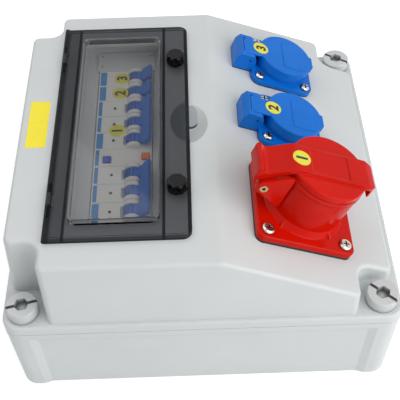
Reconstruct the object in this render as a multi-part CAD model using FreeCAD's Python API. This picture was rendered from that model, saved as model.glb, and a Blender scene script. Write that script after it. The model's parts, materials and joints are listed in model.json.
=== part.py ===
import FreeCAD, Part
import math
import os

from FreeCAD import Placement, Rotation, Vector

# Industrial socket box lying on its back, in millimetres.
# +Z points out of the cover, +X towards the sockets, and the origin is the middle of the back face.

# Enclosure
box_length = 288.0
box_width = 284.0
box_height = 146.0
seam_height = 78.4
seam_gap = 0.4
edge_tolerance = 0.01
wall = 3.0
back_wall = 3.5
base_draft_x = 1.0
base_draft_y = 2.7
ledge_x = 5.0
ledge_y = 3.0
cover_draft_x = 4.0
cover_draft_y = 5.5
corner_radius = 12.0
column_width = 17.5
column_relief = 2.0
column_blend = 6.0
base_rim = 6.0
base_edge_round = 2.0
inside_radius = 6.0
gasket_width = 3.0
gasket_depth = 3.0
gasket_inset = 1.5

# Cover
flat_length = 148.5
slope_angle = 21.8
bend_radius = 12.0
notch_length = 33.0
notch_width = 33.0
notch_radius = 11.0
arm_radius = 5.0
top_round = 3.0
flange_height = 8.0
flange_round = 2.0
lip_height = 6.5

# Cover screws
screw_inset_x = 15.0
screw_inset_y = 14.8
screw_head_radius = 11.5
screw_head_height = 10.0
screw_shank_radius = 3.5
screw_shank_length = 40.0
screw_slot_width = 2.4
screw_slot_depth = 2.6
screw_head_chamfer = 0.75
screw_socket_radius = 4.8
screw_socket_depth = 5.0
screw_turns = {(-1, -1): 14.0, (1, -1): -42.0, (1, 1): -32.0, (-1, 1): 65.0}

# Wall fixings
fixing_length = 190.0
fixing_width = 240.0
fixing_radius = 2.75
fixing_boss_radius = 7.0
fixing_boss_height = 2.5

# Window opening and inner panel
window_length = 62.0
window_width = 192.0
window_inset = 44.5
window_radius = 4.0
well_wall = 3.0
well_depth = 20.0
well_far_reach = 12.0
panel_thickness = 3.0
panel_margin = 6.0
panel_slot_margin = 0.5
panel_screw_radius = 1.5
panel_screw_head = 3.0
panel_boss_radius = 4.0
panel_screw_grip = 9.0
blank_width = 22.5
blank_overlap = 1.2
blank_thickness = 1.6
blank_hole = 2.2

# Door
door_length = 102.7
door_width = 224.0
door_inset = 27.0
door_gap = 0.4
door_thickness = 2.4
door_lip_width = 3.2
door_lip_height = 0.8
door_corner = 7.0
barrel_radius = 2.15
hinge_pin_radius = 1.0
hinge_pin_clearance = 0.15
knuckle_width = 12.0
knuckle_spacing = 150.0
knuckle_clearance = 0.4
knuckle_foot = 5.0
hinge_pin_reach = 9.0
hinge_pin_end_gap = 1.0
pane_raise = 3.8
pane_wall = 2.0
pane_margin = 1.1
pane_round = 1.6
rib_height = 0.5
rib_gap = 1.6
rib_width = 1.5
seal_width = 2.0
seal_depth = 1.6
seal_inset = 0.5
tab_width = 23.0
tab_reach = 6.3
tab_offset = 4.5
tab_thickness = 2.6
tab_corner = 5.6
tab_round = 0.85
dish_length = 29.0
dish_width = 42.0
dish_depth = 6.5
dish_inset = 0.5

# Door knobs
knob_radius = 7.4
knob_height = 7.8
knob_spacing = 136.0
knob_inset = 9.8
knob_flutes = 8
knob_flute_radius = 2.6
knob_dome = 2.2
knob_shank_radius = 2.0
knob_shank_length = 6.0
knob_hole_clearance = 0.5
insert_radius = 4.2
insert_clearance = 1.1
insert_length = 9.0

# Breakers on their rail
module_width = 18.0
module_gap = 0.2
nose_length = 45.0
nose_drop = 18.7
row_inset = 33.2
breaker_length = 85.0
breaker_depth = 65.0
shoulder_depth = 44.0
breaker_round = 1.0
row_margin = 13.7
toggle_offset = 8.3
toggle_drop = 3.5
drum_radius = 6.6
drum_width = 9.2
drum_clearance = 0.4
ridge_radius = 7.3
ridge_width = 3.6
toggle_slot_length = 16.8
stub_radius = 1.5
stub_length = 2.0
stub_clearance = 0.3
handle_angle = 40.0
handle_inner = 9.5
handle_outer = 17.0
handle_thickness = 4.6
handle_side_gap = 2.0
handle_chamfer = 5.0
handle_round = 1.0
handle_overlap = 1.0
button_size = 6.0
button_round = 0.6
button_proud = 1.5
button_stroke = 1.2
button_roof = 2.0
button_clearance = 0.3
button_collar = 0.8
button_collar_height = 1.5
test_button_place = (17.6, -9.2)
reset_button_place = (-12.1, -11.6)
rail_width = 35.0
rail_crown = 27.0
rail_depth = 7.5
rail_thickness = 1.0
rail_overhang = 14.0
rail_claw = 1.5
bracket_width = 18.0
bracket_length = 34.0
bracket_flange = 10.0
bracket_thickness = 2.0
rail_screw_radius = 2.0
rail_screw_head = 3.8
rail_screw_head_height = 2.4

# Terminal bars
bar_length = 84.0
bar_section = 8.0
bar_rise = 14.0
bar_positions = {"neutral_bar": 55.0, "earth_bar": 92.0}
bar_screws = 7
bar_screw_radius = 1.8
bar_foot_width = 10.0
bar_foot_length = 12.0

# Domestic sockets with blue lids
schuko_flange = 54.0
schuko_corner = 8.0
schuko_flange_thickness = 3.5
schuko_fixing = 41.0
schuko_gasket = 1.0
schuko_places = {"far": (62.0, 84.0), "mid": (63.0, 14.5)}
schuko_ring_radius = 23.0
schuko_ring_height = 7.6
schuko_collar_radius = 20.6
schuko_mouth_height = 12.6
schuko_recess_radius = 19.7
schuko_recess_depth = 17.5
schuko_body_radius = 22.5
schuko_body_depth = 30.0
schuko_pin_spacing = 19.0
schuko_pin_radius = 2.5
sleeve_wall = 0.7
sleeve_length = 18.0
earth_clip_width = 4.0
earth_clip_thickness = 1.0
earth_clip_reach = 18.6
schuko_hinge_reach = 31.0
schuko_hinge_height = 10.5
schuko_block_width = 26.0
schuko_block_reach = 11.8
schuko_block_height = 6.0
schuko_block_chamfer = 6.0
schuko_block_round = 1.0
schuko_hinge_round = 2.0
schuko_pocket_radius = 9.6
schuko_pocket_web = 1.2
schuko_ear_radius = 5.0
schuko_ear_width = 4.1
schuko_foot_reach = 7.0
schuko_lid_radius = 23.4
schuko_lid_height = 16.5
schuko_lid_thickness = 2.1
schuko_skirt_wall = 1.5
schuko_skirt_gap = 0.4
schuko_hood_reach = 7.0
schuko_lid_round = 1.0
schuko_lip_reach = 24.8
schuko_lip_width = 13.0
schuko_lip_height = 6.0
schuko_lip_round = 1.5
schuko_pad = (18.0, 30.0)
schuko_pad_height = 0.5
schuko_pad_offset = 6.0
schuko_pad_round = 1.5
schuko_barrel_radius = 4.4
lid_pin_radius = 1.2
lid_pin_clearance = 0.15
lid_side_clearance = 0.3
spring_width = 7.0
spring_wire = 1.2
spring_groove = 0.3
spring_clearance = 0.05

# Three-phase socket with red lid
cee_place = (63.5, -70.5)
cee_flange = 75.0
cee_corner = 6.0
cee_flange_thickness = 5.0
cee_flange_round = 1.2
cee_fixing = 60.0
cee_gasket = 2.0
cee_barrel_radius = 28.5
cee_bore_radius = 25.8
cee_mouth_height = 44.6
cee_collar_radius = 29.2
cee_collar_height = 3.6
cee_foot_spread = 2.5
cee_insert_radius = 20.8
cee_insert_height = 36.0
cee_tail_depth = 10.0
cee_insert_flange = 4.0
cee_rear_radius = 24.0
cee_rear_depth = 36.0
cee_key_width = 7.0
cee_key_depth = 1.4
contact_circle = 13.2
contact_count = 5
contact_radius = 3.4
earth_contact_radius = 4.0
contact_wall = 0.8
contact_length = 54.0
contact_recess = 2.0
cee_hinge_reach = 43.0
cee_hinge_height = 31.0
cee_ear_inner = 13.0
cee_ear_width = 3.5
cee_ear_radius = 5.5
cee_ear_heel_angle = 36.9
cee_lid_radius = 28.9
cee_lid_round = 1.4
cee_lobe_height = 50.0
cee_plate_thickness = 2.4
cee_skirt_wall = 1.3
cee_seal_width = 3.0
cee_lid_gap = 0.4
cee_strap_width = 25.0
cee_strap_height = 1.8
cee_strap_round = 6.0
cee_pad_length = 28.5
cee_pad_width = 21.0
cee_pad_depth = 0.7
cee_pad_offset = -0.5
cee_pad_round = 1.5
cee_nose_reach = 37.5
cee_nose_drop = 9.5
cee_nose_thickness = 4.0
cee_nose_curl = 3.2
cee_nose_round = 11.0
cee_nose_root_round = 1.0
cee_nose_tip_round = 0.5
cee_nose_heel_round = 1.0
cee_nose_belly_round = 3.0
cee_nose_back_round = 4.0
cee_nose_clearance = 2.2
cee_neck_thickness = 4.2
cee_neck_offset = 6.0
cee_crest_round = 8.0
cee_valley_reach = 2.0
cee_valley_round = 5.0
cee_ridge_reach = 6.3
cee_ridge_height = 45.6
cee_ridge_round = 2.0
cee_flap_reach = 8.5
cee_flap_thickness = 1.8
cee_flap_drop = 2.0
cee_flap_round = 0.5
cee_knuckle_radius = 4.6
cee_knuckle_inner = 5.2
cee_knuckle_overlap = 1.0
cee_pin_radius = 2.2
cee_pin_bore = 1.3
cee_eyelet_radius = 3.0
cee_eyelet_height = 0.6
cee_gusset_size = 5.0
cee_gusset_thickness = 2.0
cee_gusset_count = 5
cee_gusset_turn = 16.0
cee_gusset_bite = 1.0

# Socket fixing screws
socket_screw_radius = 2.0
schuko_screw_head = 4.0
cee_screw_head = 4.8
socket_screw_head_height = 2.4
socket_screw_length = 14.0
socket_screw_dome = 1.9
cross_length = 5.2
cross_width = 1.1
cross_depth = 1.1
socket_boss_radius = 4.5
socket_boss_depth = 6.0
cutout_clearance = 0.5

# Cable gland in the far wall
gland_offset = 0.0
gland_z = 38.0
gland_pad_radius = 21.0
gland_pad_height = 1.0
gland_thread_radius = 12.4
gland_bore = 8.5
gland_hex = 33.0
gland_collar = 8.0
gland_nut_length = 18.0
gland_nut_hex = 30.0
gland_nut_opening = 9.0
gland_dome_flare = 4.0
gland_dome_inset = 3.0
gland_seal_bore = 7.0
gland_seal_radius = 11.0
gland_seal_length = 12.0
gland_seal_spigot = 1.5
gland_seal_clearance = 0.2
gland_locknut = 5.5
gland_thread_spare = 2.0

# Places worked out from the sizes above
half_length = box_length / 2.0
half_width = box_width / 2.0
cover_bottom = seam_height + seam_gap
flange_top = cover_bottom + flange_height
cavity_x = half_length - base_draft_x - column_relief - wall
cavity_y = half_width - base_draft_y - column_relief - wall
notch_x = half_length - notch_length
notch_y = half_width - notch_width
top_left = ledge_x + cover_draft_x - half_length
ridge_x = top_left + flat_length
screw_x = half_length - screw_inset_x
screw_y = half_width - screw_inset_y
window_x0 = top_left + window_inset
window_x1 = window_x0 + window_length
well_bottom = box_height - well_depth
door_x0 = top_left + door_inset
door_x1 = door_x0 + door_length
door_bottom = box_height + door_gap
door_top = door_bottom + door_thickness
barrel_x = door_x0 + barrel_radius
barrel_z = door_bottom + barrel_radius
knob_x = door_x1 - knob_inset
nose_offset = window_x0 + row_inset
nose_top = box_height - nose_drop
nose_x0 = nose_offset - nose_length / 2.0
nose_x1 = nose_offset + nose_length / 2.0
toggle_x = nose_offset + toggle_offset
toggle_z = nose_top - toggle_drop
rail_front = nose_top - breaker_depth
# Modules of each device from its far end: p is a switched pole, e the electronics
row_modules = {"breaker_3": "p", "breaker_2": "p", "breaker_1": "ppp", "rcbo": "eppp"}
row_start = window_width / 2.0 - row_margin
row_end = row_start - module_width * len("".join(row_modules.values()))
gland_x = nose_offset + gland_offset
slope = Placement(Vector(ridge_x, 0, box_height), Rotation(Vector(0, 1, 0), slope_angle))


# Drawing helpers

def box(x0, x1, y0, y1, z0, z1):
    """Upright block between two corners."""
    return Part.makeBox(x1 - x0, y1 - y0, z1 - z0, Vector(x0, y0, z0))


def rod(radius, x, y, z0, z1):
    """Cylinder standing along Z."""
    return Part.makeCylinder(radius, z1 - z0, Vector(x, y, z0))


def rod_y(radius, x, z, y0, y1):
    """Cylinder lying along Y."""
    return Part.makeCylinder(radius, y1 - y0, Vector(x, y0, z), Vector(0, 1, 0))


def tube(outer, inner, x, y, z0, z1):
    """Round tube standing along Z."""
    return rod(outer, x, y, z0, z1).cut(rod(inner, x, y, z0, z1))


def tube_y(outer, inner, x, z, y0, y1):
    """Round tube lying along Y."""
    return rod_y(outer, x, z, y0, y1).cut(rod_y(inner, x, z, y0, y1))


def rounded_wire(corners, z=0.0):
    """Closed wire at height z through corners given as (x, y, radius)."""
    count = len(corners)
    ends = []
    for index, (x, y, radius) in enumerate(corners):
        corner = Vector(x, y, z)
        before = Vector(corners[index - 1][0], corners[index - 1][1], z) - corner
        after = Vector(corners[(index + 1) % count][0], corners[(index + 1) % count][1], z) - corner
        before.normalize()
        after.normalize()
        half = before.getAngle(after) / 2.0
        reach = radius / math.tan(half)
        middle = (before + after).normalize() * (radius / math.sin(half) - radius)
        ends.append((corner + before * reach, corner + middle, corner + after * reach, radius))
    edges = []
    for index, (start, middle, stop, radius) in enumerate(ends):
        if radius > 0:
            edges.append(Part.Arc(start, middle, stop).toShape())
        edges.append(Part.makeLine(stop, ends[(index + 1) % count][0]))
    return Part.Wire(edges)


def plate(corners, z0, z1):
    """Flat plate with the outline given as (x, y, radius) corners."""
    return Part.Face(rounded_wire(corners, z0)).extrude(Vector(0, 0, z1 - z0))


def rectangle(x0, x1, y0, y1, radius):
    """Corners of a rounded rectangle."""
    return [(x0, y0, radius), (x1, y0, radius), (x1, y1, radius), (x0, y1, radius)]


def rounded_box(x0, x1, y0, y1, z0, z1, radius):
    """Block with rounded upright corners."""
    return plate(rectangle(x0, x1, y0, y1, radius), z0, z1)


def profile(corners, y0, y1):
    """Outline in the XZ plane, corners as (x, z, radius), drawn out along Y."""
    solid = plate(corners, -y1, -y0)
    solid.rotate(Vector(0, 0, 0), Vector(1, 0, 0), 90)
    return solid


def loft(low, high):
    """Straight-sided solid between two like wires."""
    return Part.makeLoft([low, high], True, True)


def fused(shapes):
    """One clean solid out of several that touch or overlap."""
    return shapes[0].multiFuse(shapes[1:]).removeSplitter()


def at(shape, x=0.0, y=0.0, z=0.0):
    """Copy of a shape moved by an offset."""
    moved = shape.copy()
    moved.translate(Vector(x, y, z))
    return moved


def on_slope(shape, place):
    """Copy of a shape drawn about (0, 0, 0) on the panel, set on the sloping face."""
    moved = at(shape, place[0], place[1])
    moved.Placement = slope.multiply(moved.Placement)
    return moved


def soft_bar(half, z0, z1, radius, x0, x1):
    """Bar along X with its two upper long edges rounded."""
    corners = [(-half, z0, 0), (half, z0, 0), (half, z1, radius), (-half, z1, radius)]
    bar = profile(corners, -x1, -x0)
    bar.rotate(Vector(0, 0, 0), Vector(0, 0, 1), 90)
    return bar


def hexagon(across_flats, y0, y1, x, z):
    """Hexagonal prism along Y."""
    radius = across_flats / math.sqrt(3)
    corners = []
    for step in range(6):
        angle = math.radians(60 * step)
        corners.append((x + radius * math.cos(angle), z + radius * math.sin(angle), 0))
    return profile(corners, y0, y1)


def top_edges(solid, steepest=0.8):
    """Edges where the upper faces of a solid meet its sides."""
    edges = []
    for edge in solid.Edges:
        slants = []
        for face in solid.ancestorsOfType(edge, Part.Face):
            u0, u1, v0, v1 = face.ParameterRange
            slants.append(face.normalAt((u0 + u1) / 2.0, (v0 + v1) / 2.0).z)
        if len(slants) == 2 and max(slants) > steepest > min(slants):
            edges.append(edge)
    return edges


def level_edges(solid, z, tolerance=edge_tolerance):
    """Edges of a solid that lie wholly at one height."""
    edges = []
    for edge in solid.Edges:
        if abs(edge.BoundBox.ZMin - z) < tolerance and abs(edge.BoundBox.ZMax - z) < tolerance:
            edges.append(edge)
    return edges


# Outlines of the enclosure

def notched(half_x, half_y, outer, inner, inset=0.0, grow=0.0):
    """Rectangle with its four corners notched out for the cover screws."""
    x_in = notch_x - inset
    y_in = notch_y - inset
    quarter = [(half_x, y_in, outer), (x_in, y_in, inner), (x_in, half_y, outer)]
    corners = list(quarter)
    corners += [(-x, y, radius) for x, y, radius in reversed(quarter)]
    corners += [(-x, -y, radius) for x, y, radius in quarter]
    corners += [(x, -y, radius) for x, y, radius in reversed(quarter)]
    return [(x + math.copysign(grow, x), y + math.copysign(grow, y), radius) for x, y, radius in corners]


def columned(half_x, half_y, radius):
    """Rounded rectangle whose sides stand back between the corner columns."""
    x_edge = half_x - column_width
    y_edge = half_y - column_width
    back_x = half_x - column_relief
    back_y = half_y - column_relief
    soft = column_blend / 2.0
    quarter = [
        (back_x, y_edge - column_blend, soft),
        (half_x, y_edge, soft),
        (half_x, half_y, radius),
        (x_edge, half_y, soft),
        (x_edge - column_blend, back_y, soft),
    ]
    corners = list(quarter)
    corners += [(-x, y, r) for x, y, r in reversed(quarter)]
    corners += [(-x, -y, r) for x, y, r in quarter]
    corners += [(x, -y, r) for x, y, r in reversed(quarter)]
    return corners


def cover_half(z):
    """Half length and half width of the cover's walls at a height."""
    share = (z - flange_top) / (box_height - flange_top)
    return half_length - ledge_x - cover_draft_x * share, half_width - ledge_y - cover_draft_y * share


def cover_profile(depth, reach):
    """Side view of the cover's flat top and slope, lowered by a depth, as a broad solid."""
    angle = math.radians(slope_angle)
    bend_x = ridge_x - depth * math.tan(angle / 2.0)
    fall = (reach - bend_x) * math.tan(angle)
    top = box_height - depth
    corners = [
        (-reach, 0, 0),
        (reach, 0, 0),
        (reach, top - fall, 0),
        (bend_x, top, bend_radius - depth),
        (-reach, top, 0),
    ]
    return profile(corners, -reach, reach)


# Enclosure pieces

def corner_points(x, y):
    """The four mirror images of a point."""
    return [(x, y), (-x, y), (-x, -y), (x, -y)]


def back_box():
    """Base tub with corner columns, gasket groove, wall fixings and a pad for the gland."""
    back = rounded_wire(columned(half_length - base_draft_x, half_width - base_draft_y, corner_radius), 0)
    front = rounded_wire(columned(half_length, half_width, corner_radius), seam_height)
    tub = loft(back, front)
    tub = tub.makeFillet(base_edge_round, level_edges(tub, 0))
    band = rounded_box(-half_length, half_length, -half_width, half_width,
                       seam_height - base_rim, seam_height, corner_radius)
    pad_face = half_width + gland_pad_height - column_relief
    pad = rod_y(gland_pad_radius, gland_x, gland_z, cavity_y, pad_face)
    tub = fused([tub, band, pad])
    cavity = plate(notched(cavity_x, cavity_y, inside_radius, inside_radius, wall), back_wall, seam_height)
    tub = tub.cut(cavity)
    bosses = []
    for x, y in corner_points(fixing_length / 2.0, fixing_width / 2.0):
        bosses.append(rod(fixing_boss_radius, x, y, back_wall, back_wall + fixing_boss_height))
    tub = fused([tub] + bosses)
    cuts = [rim_gasket_ring(gasket_depth)]
    for x, y in corner_points(fixing_length / 2.0, fixing_width / 2.0):
        cuts.append(rod(fixing_radius, x, y, 0, back_wall + fixing_boss_height))
    for x, y in corner_points(screw_x, screw_y):
        cuts.append(rod(screw_shank_radius, x, y, flange_top - screw_shank_length, seam_height))
    cuts.append(rod_y(gland_thread_radius, gland_x, gland_z, cavity_y - wall, pad_face))
    return tub.cut(cuts)


def rim_gasket_ring(height):
    """Ring that follows the notched rim, from the groove's floor upwards."""
    floor = seam_height - gasket_depth
    outer = notched(cavity_x, cavity_y, inside_radius, inside_radius, wall, gasket_inset + gasket_width)
    inner = notched(cavity_x, cavity_y, inside_radius, inside_radius, wall, gasket_inset)
    return plate(outer, floor, floor + height).cut(plate(inner, floor, floor + height))


def cover_body():
    """Outside of the cover: drafted, notched at the corners and sloped over the sockets."""
    low = notched(*cover_half(cover_bottom), arm_radius, notch_radius)
    high = notched(*cover_half(box_height), arm_radius, notch_radius)
    block = loft(rounded_wire(low, cover_bottom), rounded_wire(high, box_height))
    block = block.common(cover_profile(0, box_length))
    block = block.makeFillet(top_round, top_edges(block))
    rim = rounded_box(-half_length, half_length, -half_width, half_width,
                      cover_bottom, flange_top, corner_radius)
    rim = rim.makeFillet(flange_round, level_edges(rim, flange_top))
    return fused([block, rim])


def cover_cavity():
    """Hollow inside the cover, with a thick lip left round the rim."""
    low = cover_half(cover_bottom)
    high = cover_half(box_height)
    outer = arm_radius - wall
    inner = notch_radius + wall
    low_wire = rounded_wire(notched(low[0] - wall, low[1] - wall, outer, inner, wall), cover_bottom)
    high_wire = rounded_wire(notched(high[0] - wall, high[1] - wall, outer, inner, wall), box_height)
    hollow = loft(low_wire, high_wire).common(cover_profile(wall, box_length))
    lip_top = cover_bottom + lip_height
    upper = hollow.common(box(-box_length, box_length, -box_width, box_width, lip_top, box_height))
    lower = plate(notched(cavity_x, cavity_y, inside_radius, inside_radius, wall), cover_bottom, lip_top)
    return fused([upper, lower])


def dish(grow):
    """Finger dish beside the pull tab, scooped by a spindle lying along Y."""
    half = dish_length / 2.0
    spindle = (half ** 2 + dish_depth ** 2) / (2.0 * dish_depth)
    rise = spindle - dish_depth
    end = dish_width / 2.0
    arc = Part.Arc(Vector(0, -end, -rise), Vector(0, 0, -spindle), Vector(0, end, -rise)).toShape()
    closing = Part.makePolygon([
        Vector(0, end, -rise), Vector(0, end, 0), Vector(0, -end, 0), Vector(0, -end, -rise),
    ])
    scoop = Part.Face(Part.Wire([arc] + closing.Edges)).revolve(Vector(0, 0, 0), Vector(0, 1, 0), 360)
    if grow > 0:
        scoop = scoop.makeOffsetShape(grow, edge_tolerance)
    return at(scoop, door_x1 - dish_inset, 0, box_height + rise)


def socket_boss(x, y):
    """Boss under the sloping face for one socket screw."""
    return rod(socket_boss_radius, x, y, -wall - socket_boss_depth, -wall / 2.0)


def socket_fixings():
    """Every socket screw as (place on the slope, screw offset, height of the flange top)."""
    fixings = []
    for place in schuko_places.values():
        for offset in corner_points(schuko_fixing / 2.0, schuko_fixing / 2.0):
            fixings.append((place, offset, schuko_gasket + schuko_flange_thickness))
    for offset in corner_points(cee_fixing / 2.0, cee_fixing / 2.0):
        fixings.append((cee_place, offset, cee_gasket + cee_flange_thickness))
    return fixings


def knuckle_slots(margin):
    """Blocks round the two hinge knuckles' feet."""
    slots = []
    half = knuckle_width / 2.0 - knuckle_clearance + margin
    for side in (-1, 1):
        middle = side * knuckle_spacing / 2.0
        slots.append(box(barrel_x - barrel_radius - margin, barrel_x + barrel_radius + margin,
                         middle - half, middle + half, box_height - knuckle_foot, barrel_z))
    return slots


def window(margin, z0, z1):
    """Upright prism over the window opening, grown by a margin."""
    half = window_width / 2.0 + margin
    radius = window_radius + max(margin, 0)
    return rounded_box(window_x0 - margin, window_x1 + margin, -half, half, z0, z1, radius)


def well(margin, z0, z1):
    """Upright prism over the well under the window, which reaches further at its far end."""
    near = -window_width / 2.0 - margin
    far = window_width / 2.0 + well_far_reach + margin
    radius = window_radius + max(margin, 0)
    return rounded_box(window_x0 - margin, window_x1 + margin, near, far, z0, z1, radius)


def panel_screw_places():
    """Places of the inner panel's screws, outside the well's long walls."""
    x0 = window_x0 - well_wall - panel_margin / 2.0
    x1 = window_x1 + well_wall + panel_margin / 2.0
    y = window_width / 2.0 - panel_margin
    return [(x0, -y), (x1, -y), (x1, y), (x0, y)]


def front_cover():
    """Moulded cover with window, slope, screw bosses, finger dish and hinge slots."""
    cover = cover_body().cut(cover_cavity())
    inside = box_height - wall / 2.0
    added = []
    for side in (-1, 1):
        added.append(rod(insert_radius + wall, knob_x, side * knob_spacing / 2.0,
                         box_height - insert_length - wall, inside))
    for place, offset, _ in socket_fixings():
        added.append(on_slope(socket_boss(*offset), place))
    shell = dish(wall).common(cover_cavity())
    cover = fused([cover, shell] + added)
    cuts = [window(0, well_bottom, box_height), dish(0), door_seal_ring(seal_depth)]
    cuts += knuckle_slots(0)
    for side in (-1, 1):
        cuts.append(rod(insert_radius, knob_x, side * knob_spacing / 2.0,
                        box_height - insert_length, box_height))
    for x, y in corner_points(screw_x, screw_y):
        cuts.append(rod(screw_shank_radius, x, y, cover_bottom, flange_top))
    below = -wall - socket_boss_depth
    for place, offset, top in socket_fixings():
        cuts.append(on_slope(rod(socket_screw_radius, *offset, below, top), place))
    for place in schuko_places.values():
        cuts.append(on_slope(rod(schuko_body_radius + cutout_clearance, 0, 0, below, wall), place))
    cuts.append(on_slope(rod(cee_collar_radius + cutout_clearance, 0, 0, below, wall), cee_place))
    return cover.cut(cuts)


def window_frame():
    """Upright frame under the cover round the window, with four bosses for the inner panel."""
    top = box_height - wall
    pieces = [well(well_wall, well_bottom, top)]
    for x, y in panel_screw_places():
        pieces.append(rod(panel_boss_radius, x, y, well_bottom, top))
    cuts = [well(0, well_bottom, top)]
    for x, y in panel_screw_places():
        cuts.append(rod(panel_screw_radius, x, y, well_bottom, well_bottom + panel_screw_grip))
    return fused(pieces).cut(cuts)


def cover_screws():
    """Four captive cover screws with tall slotted heads."""
    screws = []
    for (side_x, side_y), turn in screw_turns.items():
        top = flange_top + screw_head_height
        head = rod(screw_head_radius, 0, 0, flange_top, top)
        head = head.makeChamfer(screw_head_chamfer, level_edges(head, top))
        shank = rod(screw_shank_radius, 0, 0, flange_top - screw_shank_length, flange_top)
        slot = box(-screw_head_radius, screw_head_radius, -screw_slot_width / 2.0, screw_slot_width / 2.0,
                   top - screw_slot_depth, top)
        socket = hexagon(screw_socket_radius * 2.0, 0, screw_socket_depth, 0, 0)
        socket.rotate(Vector(0, 0, 0), Vector(1, 0, 0), 90)
        screw = fused([head, shank]).cut([slot, at(socket, 0, 0, top - screw_socket_depth)])
        screw.rotate(Vector(0, 0, 0), Vector(0, 0, 1), turn)
        screws.append(at(screw, side_x * screw_x, side_y * screw_y))
    return Part.makeCompound(screws)


# Door pieces

def door_seal_ring(height):
    """Sealing ring let into the cover round the window."""
    floor = box_height - seal_depth
    outer = window(seal_inset + seal_width, floor, floor + height)
    return outer.cut(window(seal_inset, floor, floor + height))


def pane_block(inset, z0, z1):
    """Prism in the outline of the raised pane."""
    return window(pane_margin - inset, z0, z1)


def door_frame():
    """Smoked flange of the door with edge lip, hinge barrel, two long ribs and knob holes."""
    half = door_width / 2.0
    lip_top = door_top + door_lip_height
    start = barrel_x - door_corner
    beside = box(barrel_x, door_x1, -half, half, door_bottom, lip_top)
    sheet = rounded_box(start, door_x1, -half, half, door_bottom, door_top, door_corner)
    lip = rounded_box(start, door_x1, -half, half, door_bottom, lip_top, door_corner)
    lip = lip.cut(rounded_box(start, door_x1 - door_lip_width, door_lip_width - half,
                              half - door_lip_width, door_bottom, lip_top, door_corner - door_lip_width))
    barrel = rod_y(barrel_radius, barrel_x, barrel_z, -half, half)
    pieces = [sheet.common(beside), lip.common(beside), barrel]
    left = window_x0 - pane_margin - rib_gap
    right = window_x1 + pane_margin + rib_gap
    for x0 in (left - rib_width, right):
        pieces.append(box(x0, x0 + rib_width, door_lip_width - half, half - door_lip_width,
                          door_bottom, door_top + rib_height))
    frame = fused(pieces)
    cuts = [pane_block(0, door_bottom, lip_top)]
    slot = knuckle_width / 2.0
    for side in (-1, 1):
        middle = side * knuckle_spacing / 2.0
        far_edge = barrel_x + barrel_radius + 2.0 * knuckle_clearance
        cuts.append(box(door_x0, far_edge, middle - slot, middle + slot,
                        door_bottom, barrel_z + barrel_radius))
        reach = slot + hinge_pin_reach
        cuts.append(rod_y(hinge_pin_radius + hinge_pin_clearance, barrel_x, barrel_z,
                          middle - reach, middle + reach))
        cuts.append(rod(knob_shank_radius + knob_hole_clearance, knob_x, side * knob_spacing / 2.0,
                        door_bottom, door_top))
    return frame.cut(cuts)


def door_pane():
    """Clear raised window, a shallow tray set upside down in the frame."""
    top = door_top + pane_raise
    tray = pane_block(0, door_bottom, top)
    tray = tray.makeFillet(pane_round, level_edges(tray, top))
    return tray.cut(pane_block(pane_wall, door_bottom, top - pane_wall))


def door_pull_tab():
    """Clear finger tab on the door's free edge."""
    half = tab_width / 2.0
    top = door_bottom + tab_thickness
    outline = [
        (door_x1, tab_offset - half, 0),
        (door_x1 + tab_reach, tab_offset - half, tab_corner),
        (door_x1 + tab_reach, tab_offset + half, tab_corner),
        (door_x1, tab_offset + half, 0),
    ]
    tab = plate(outline, door_bottom, top)
    free = door_x1 + edge_tolerance
    rounded = [edge for edge in level_edges(tab, top) if edge.BoundBox.XMax > free]
    return tab.makeFillet(tab_round, rounded)


def hinge_knuckles():
    """Two hinge knuckles whose feet stand in the cover."""
    knuckles = []
    for foot in knuckle_slots(0):
        y0 = foot.BoundBox.YMin
        y1 = foot.BoundBox.YMax
        knuckle = fused([foot, rod_y(barrel_radius, barrel_x, barrel_z, y0, y1)])
        knuckles.append(knuckle.cut(rod_y(hinge_pin_radius, barrel_x, barrel_z, y0, y1)))
    return Part.makeCompound(knuckles)


def hinge_pins():
    """Steel pins through the two knuckles."""
    reach = knuckle_width / 2.0 + hinge_pin_reach - hinge_pin_end_gap
    pins = []
    for side in (-1, 1):
        middle = side * knuckle_spacing / 2.0
        pins.append(rod_y(hinge_pin_radius, barrel_x, barrel_z, middle - reach, middle + reach))
    return Part.makeCompound(pins)


def knob(side):
    """Fluted thumb knob with its shank through the door."""
    y = side * knob_spacing / 2.0
    bottom = door_top + door_lip_height + door_gap
    top = bottom + knob_height
    head = rod(knob_radius, 0, 0, bottom, top)
    head = head.makeFillet(knob_dome, level_edges(head, top))
    flutes = []
    for step in range(knob_flutes):
        angle = 2.0 * math.pi * step / knob_flutes
        reach = knob_radius + knob_flute_radius / 2.0
        flutes.append(rod(knob_flute_radius, reach * math.cos(angle), reach * math.sin(angle),
                          bottom + knob_dome, top))
    shank = rod(knob_shank_radius, 0, 0, box_height - knob_shank_length, bottom)
    return at(fused([head.cut(flutes), shank]), knob_x, y)


def knob_inserts():
    """Brass inserts in the cover that take the knobs' shanks."""
    inserts = []
    for side in (-1, 1):
        inserts.append(tube(insert_radius, knob_shank_radius + insert_clearance, knob_x,
                            side * knob_spacing / 2.0, box_height - insert_length, box_height))
    return Part.makeCompound(inserts)


# Inner panel

def inner_panel():
    """Dead-front panel under the window well, slotted for the row of breakers."""
    margin = well_wall + panel_margin
    panel = well(margin, well_bottom - panel_thickness, well_bottom)
    slot = box(nose_x0 - panel_slot_margin, nose_x1 + panel_slot_margin, row_end - panel_slot_margin,
               row_start + blank_width, well_bottom - panel_thickness, well_bottom)
    cuts = [slot]
    for x, y in panel_screw_places():
        cuts.append(rod(panel_screw_radius, x, y, well_bottom - panel_thickness, well_bottom))
    return panel.cut(cuts)


def panel_screws():
    """Four screws that hold the inner panel up to the well."""
    screws = []
    low = well_bottom - panel_thickness
    for x, y in panel_screw_places():
        head = rod(panel_screw_head, x, y, low - panel_screw_radius, low)
        screws.append(fused([head, rod(panel_screw_radius, x, y, low, well_bottom + panel_screw_grip)]))
    return Part.makeCompound(screws)


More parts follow.
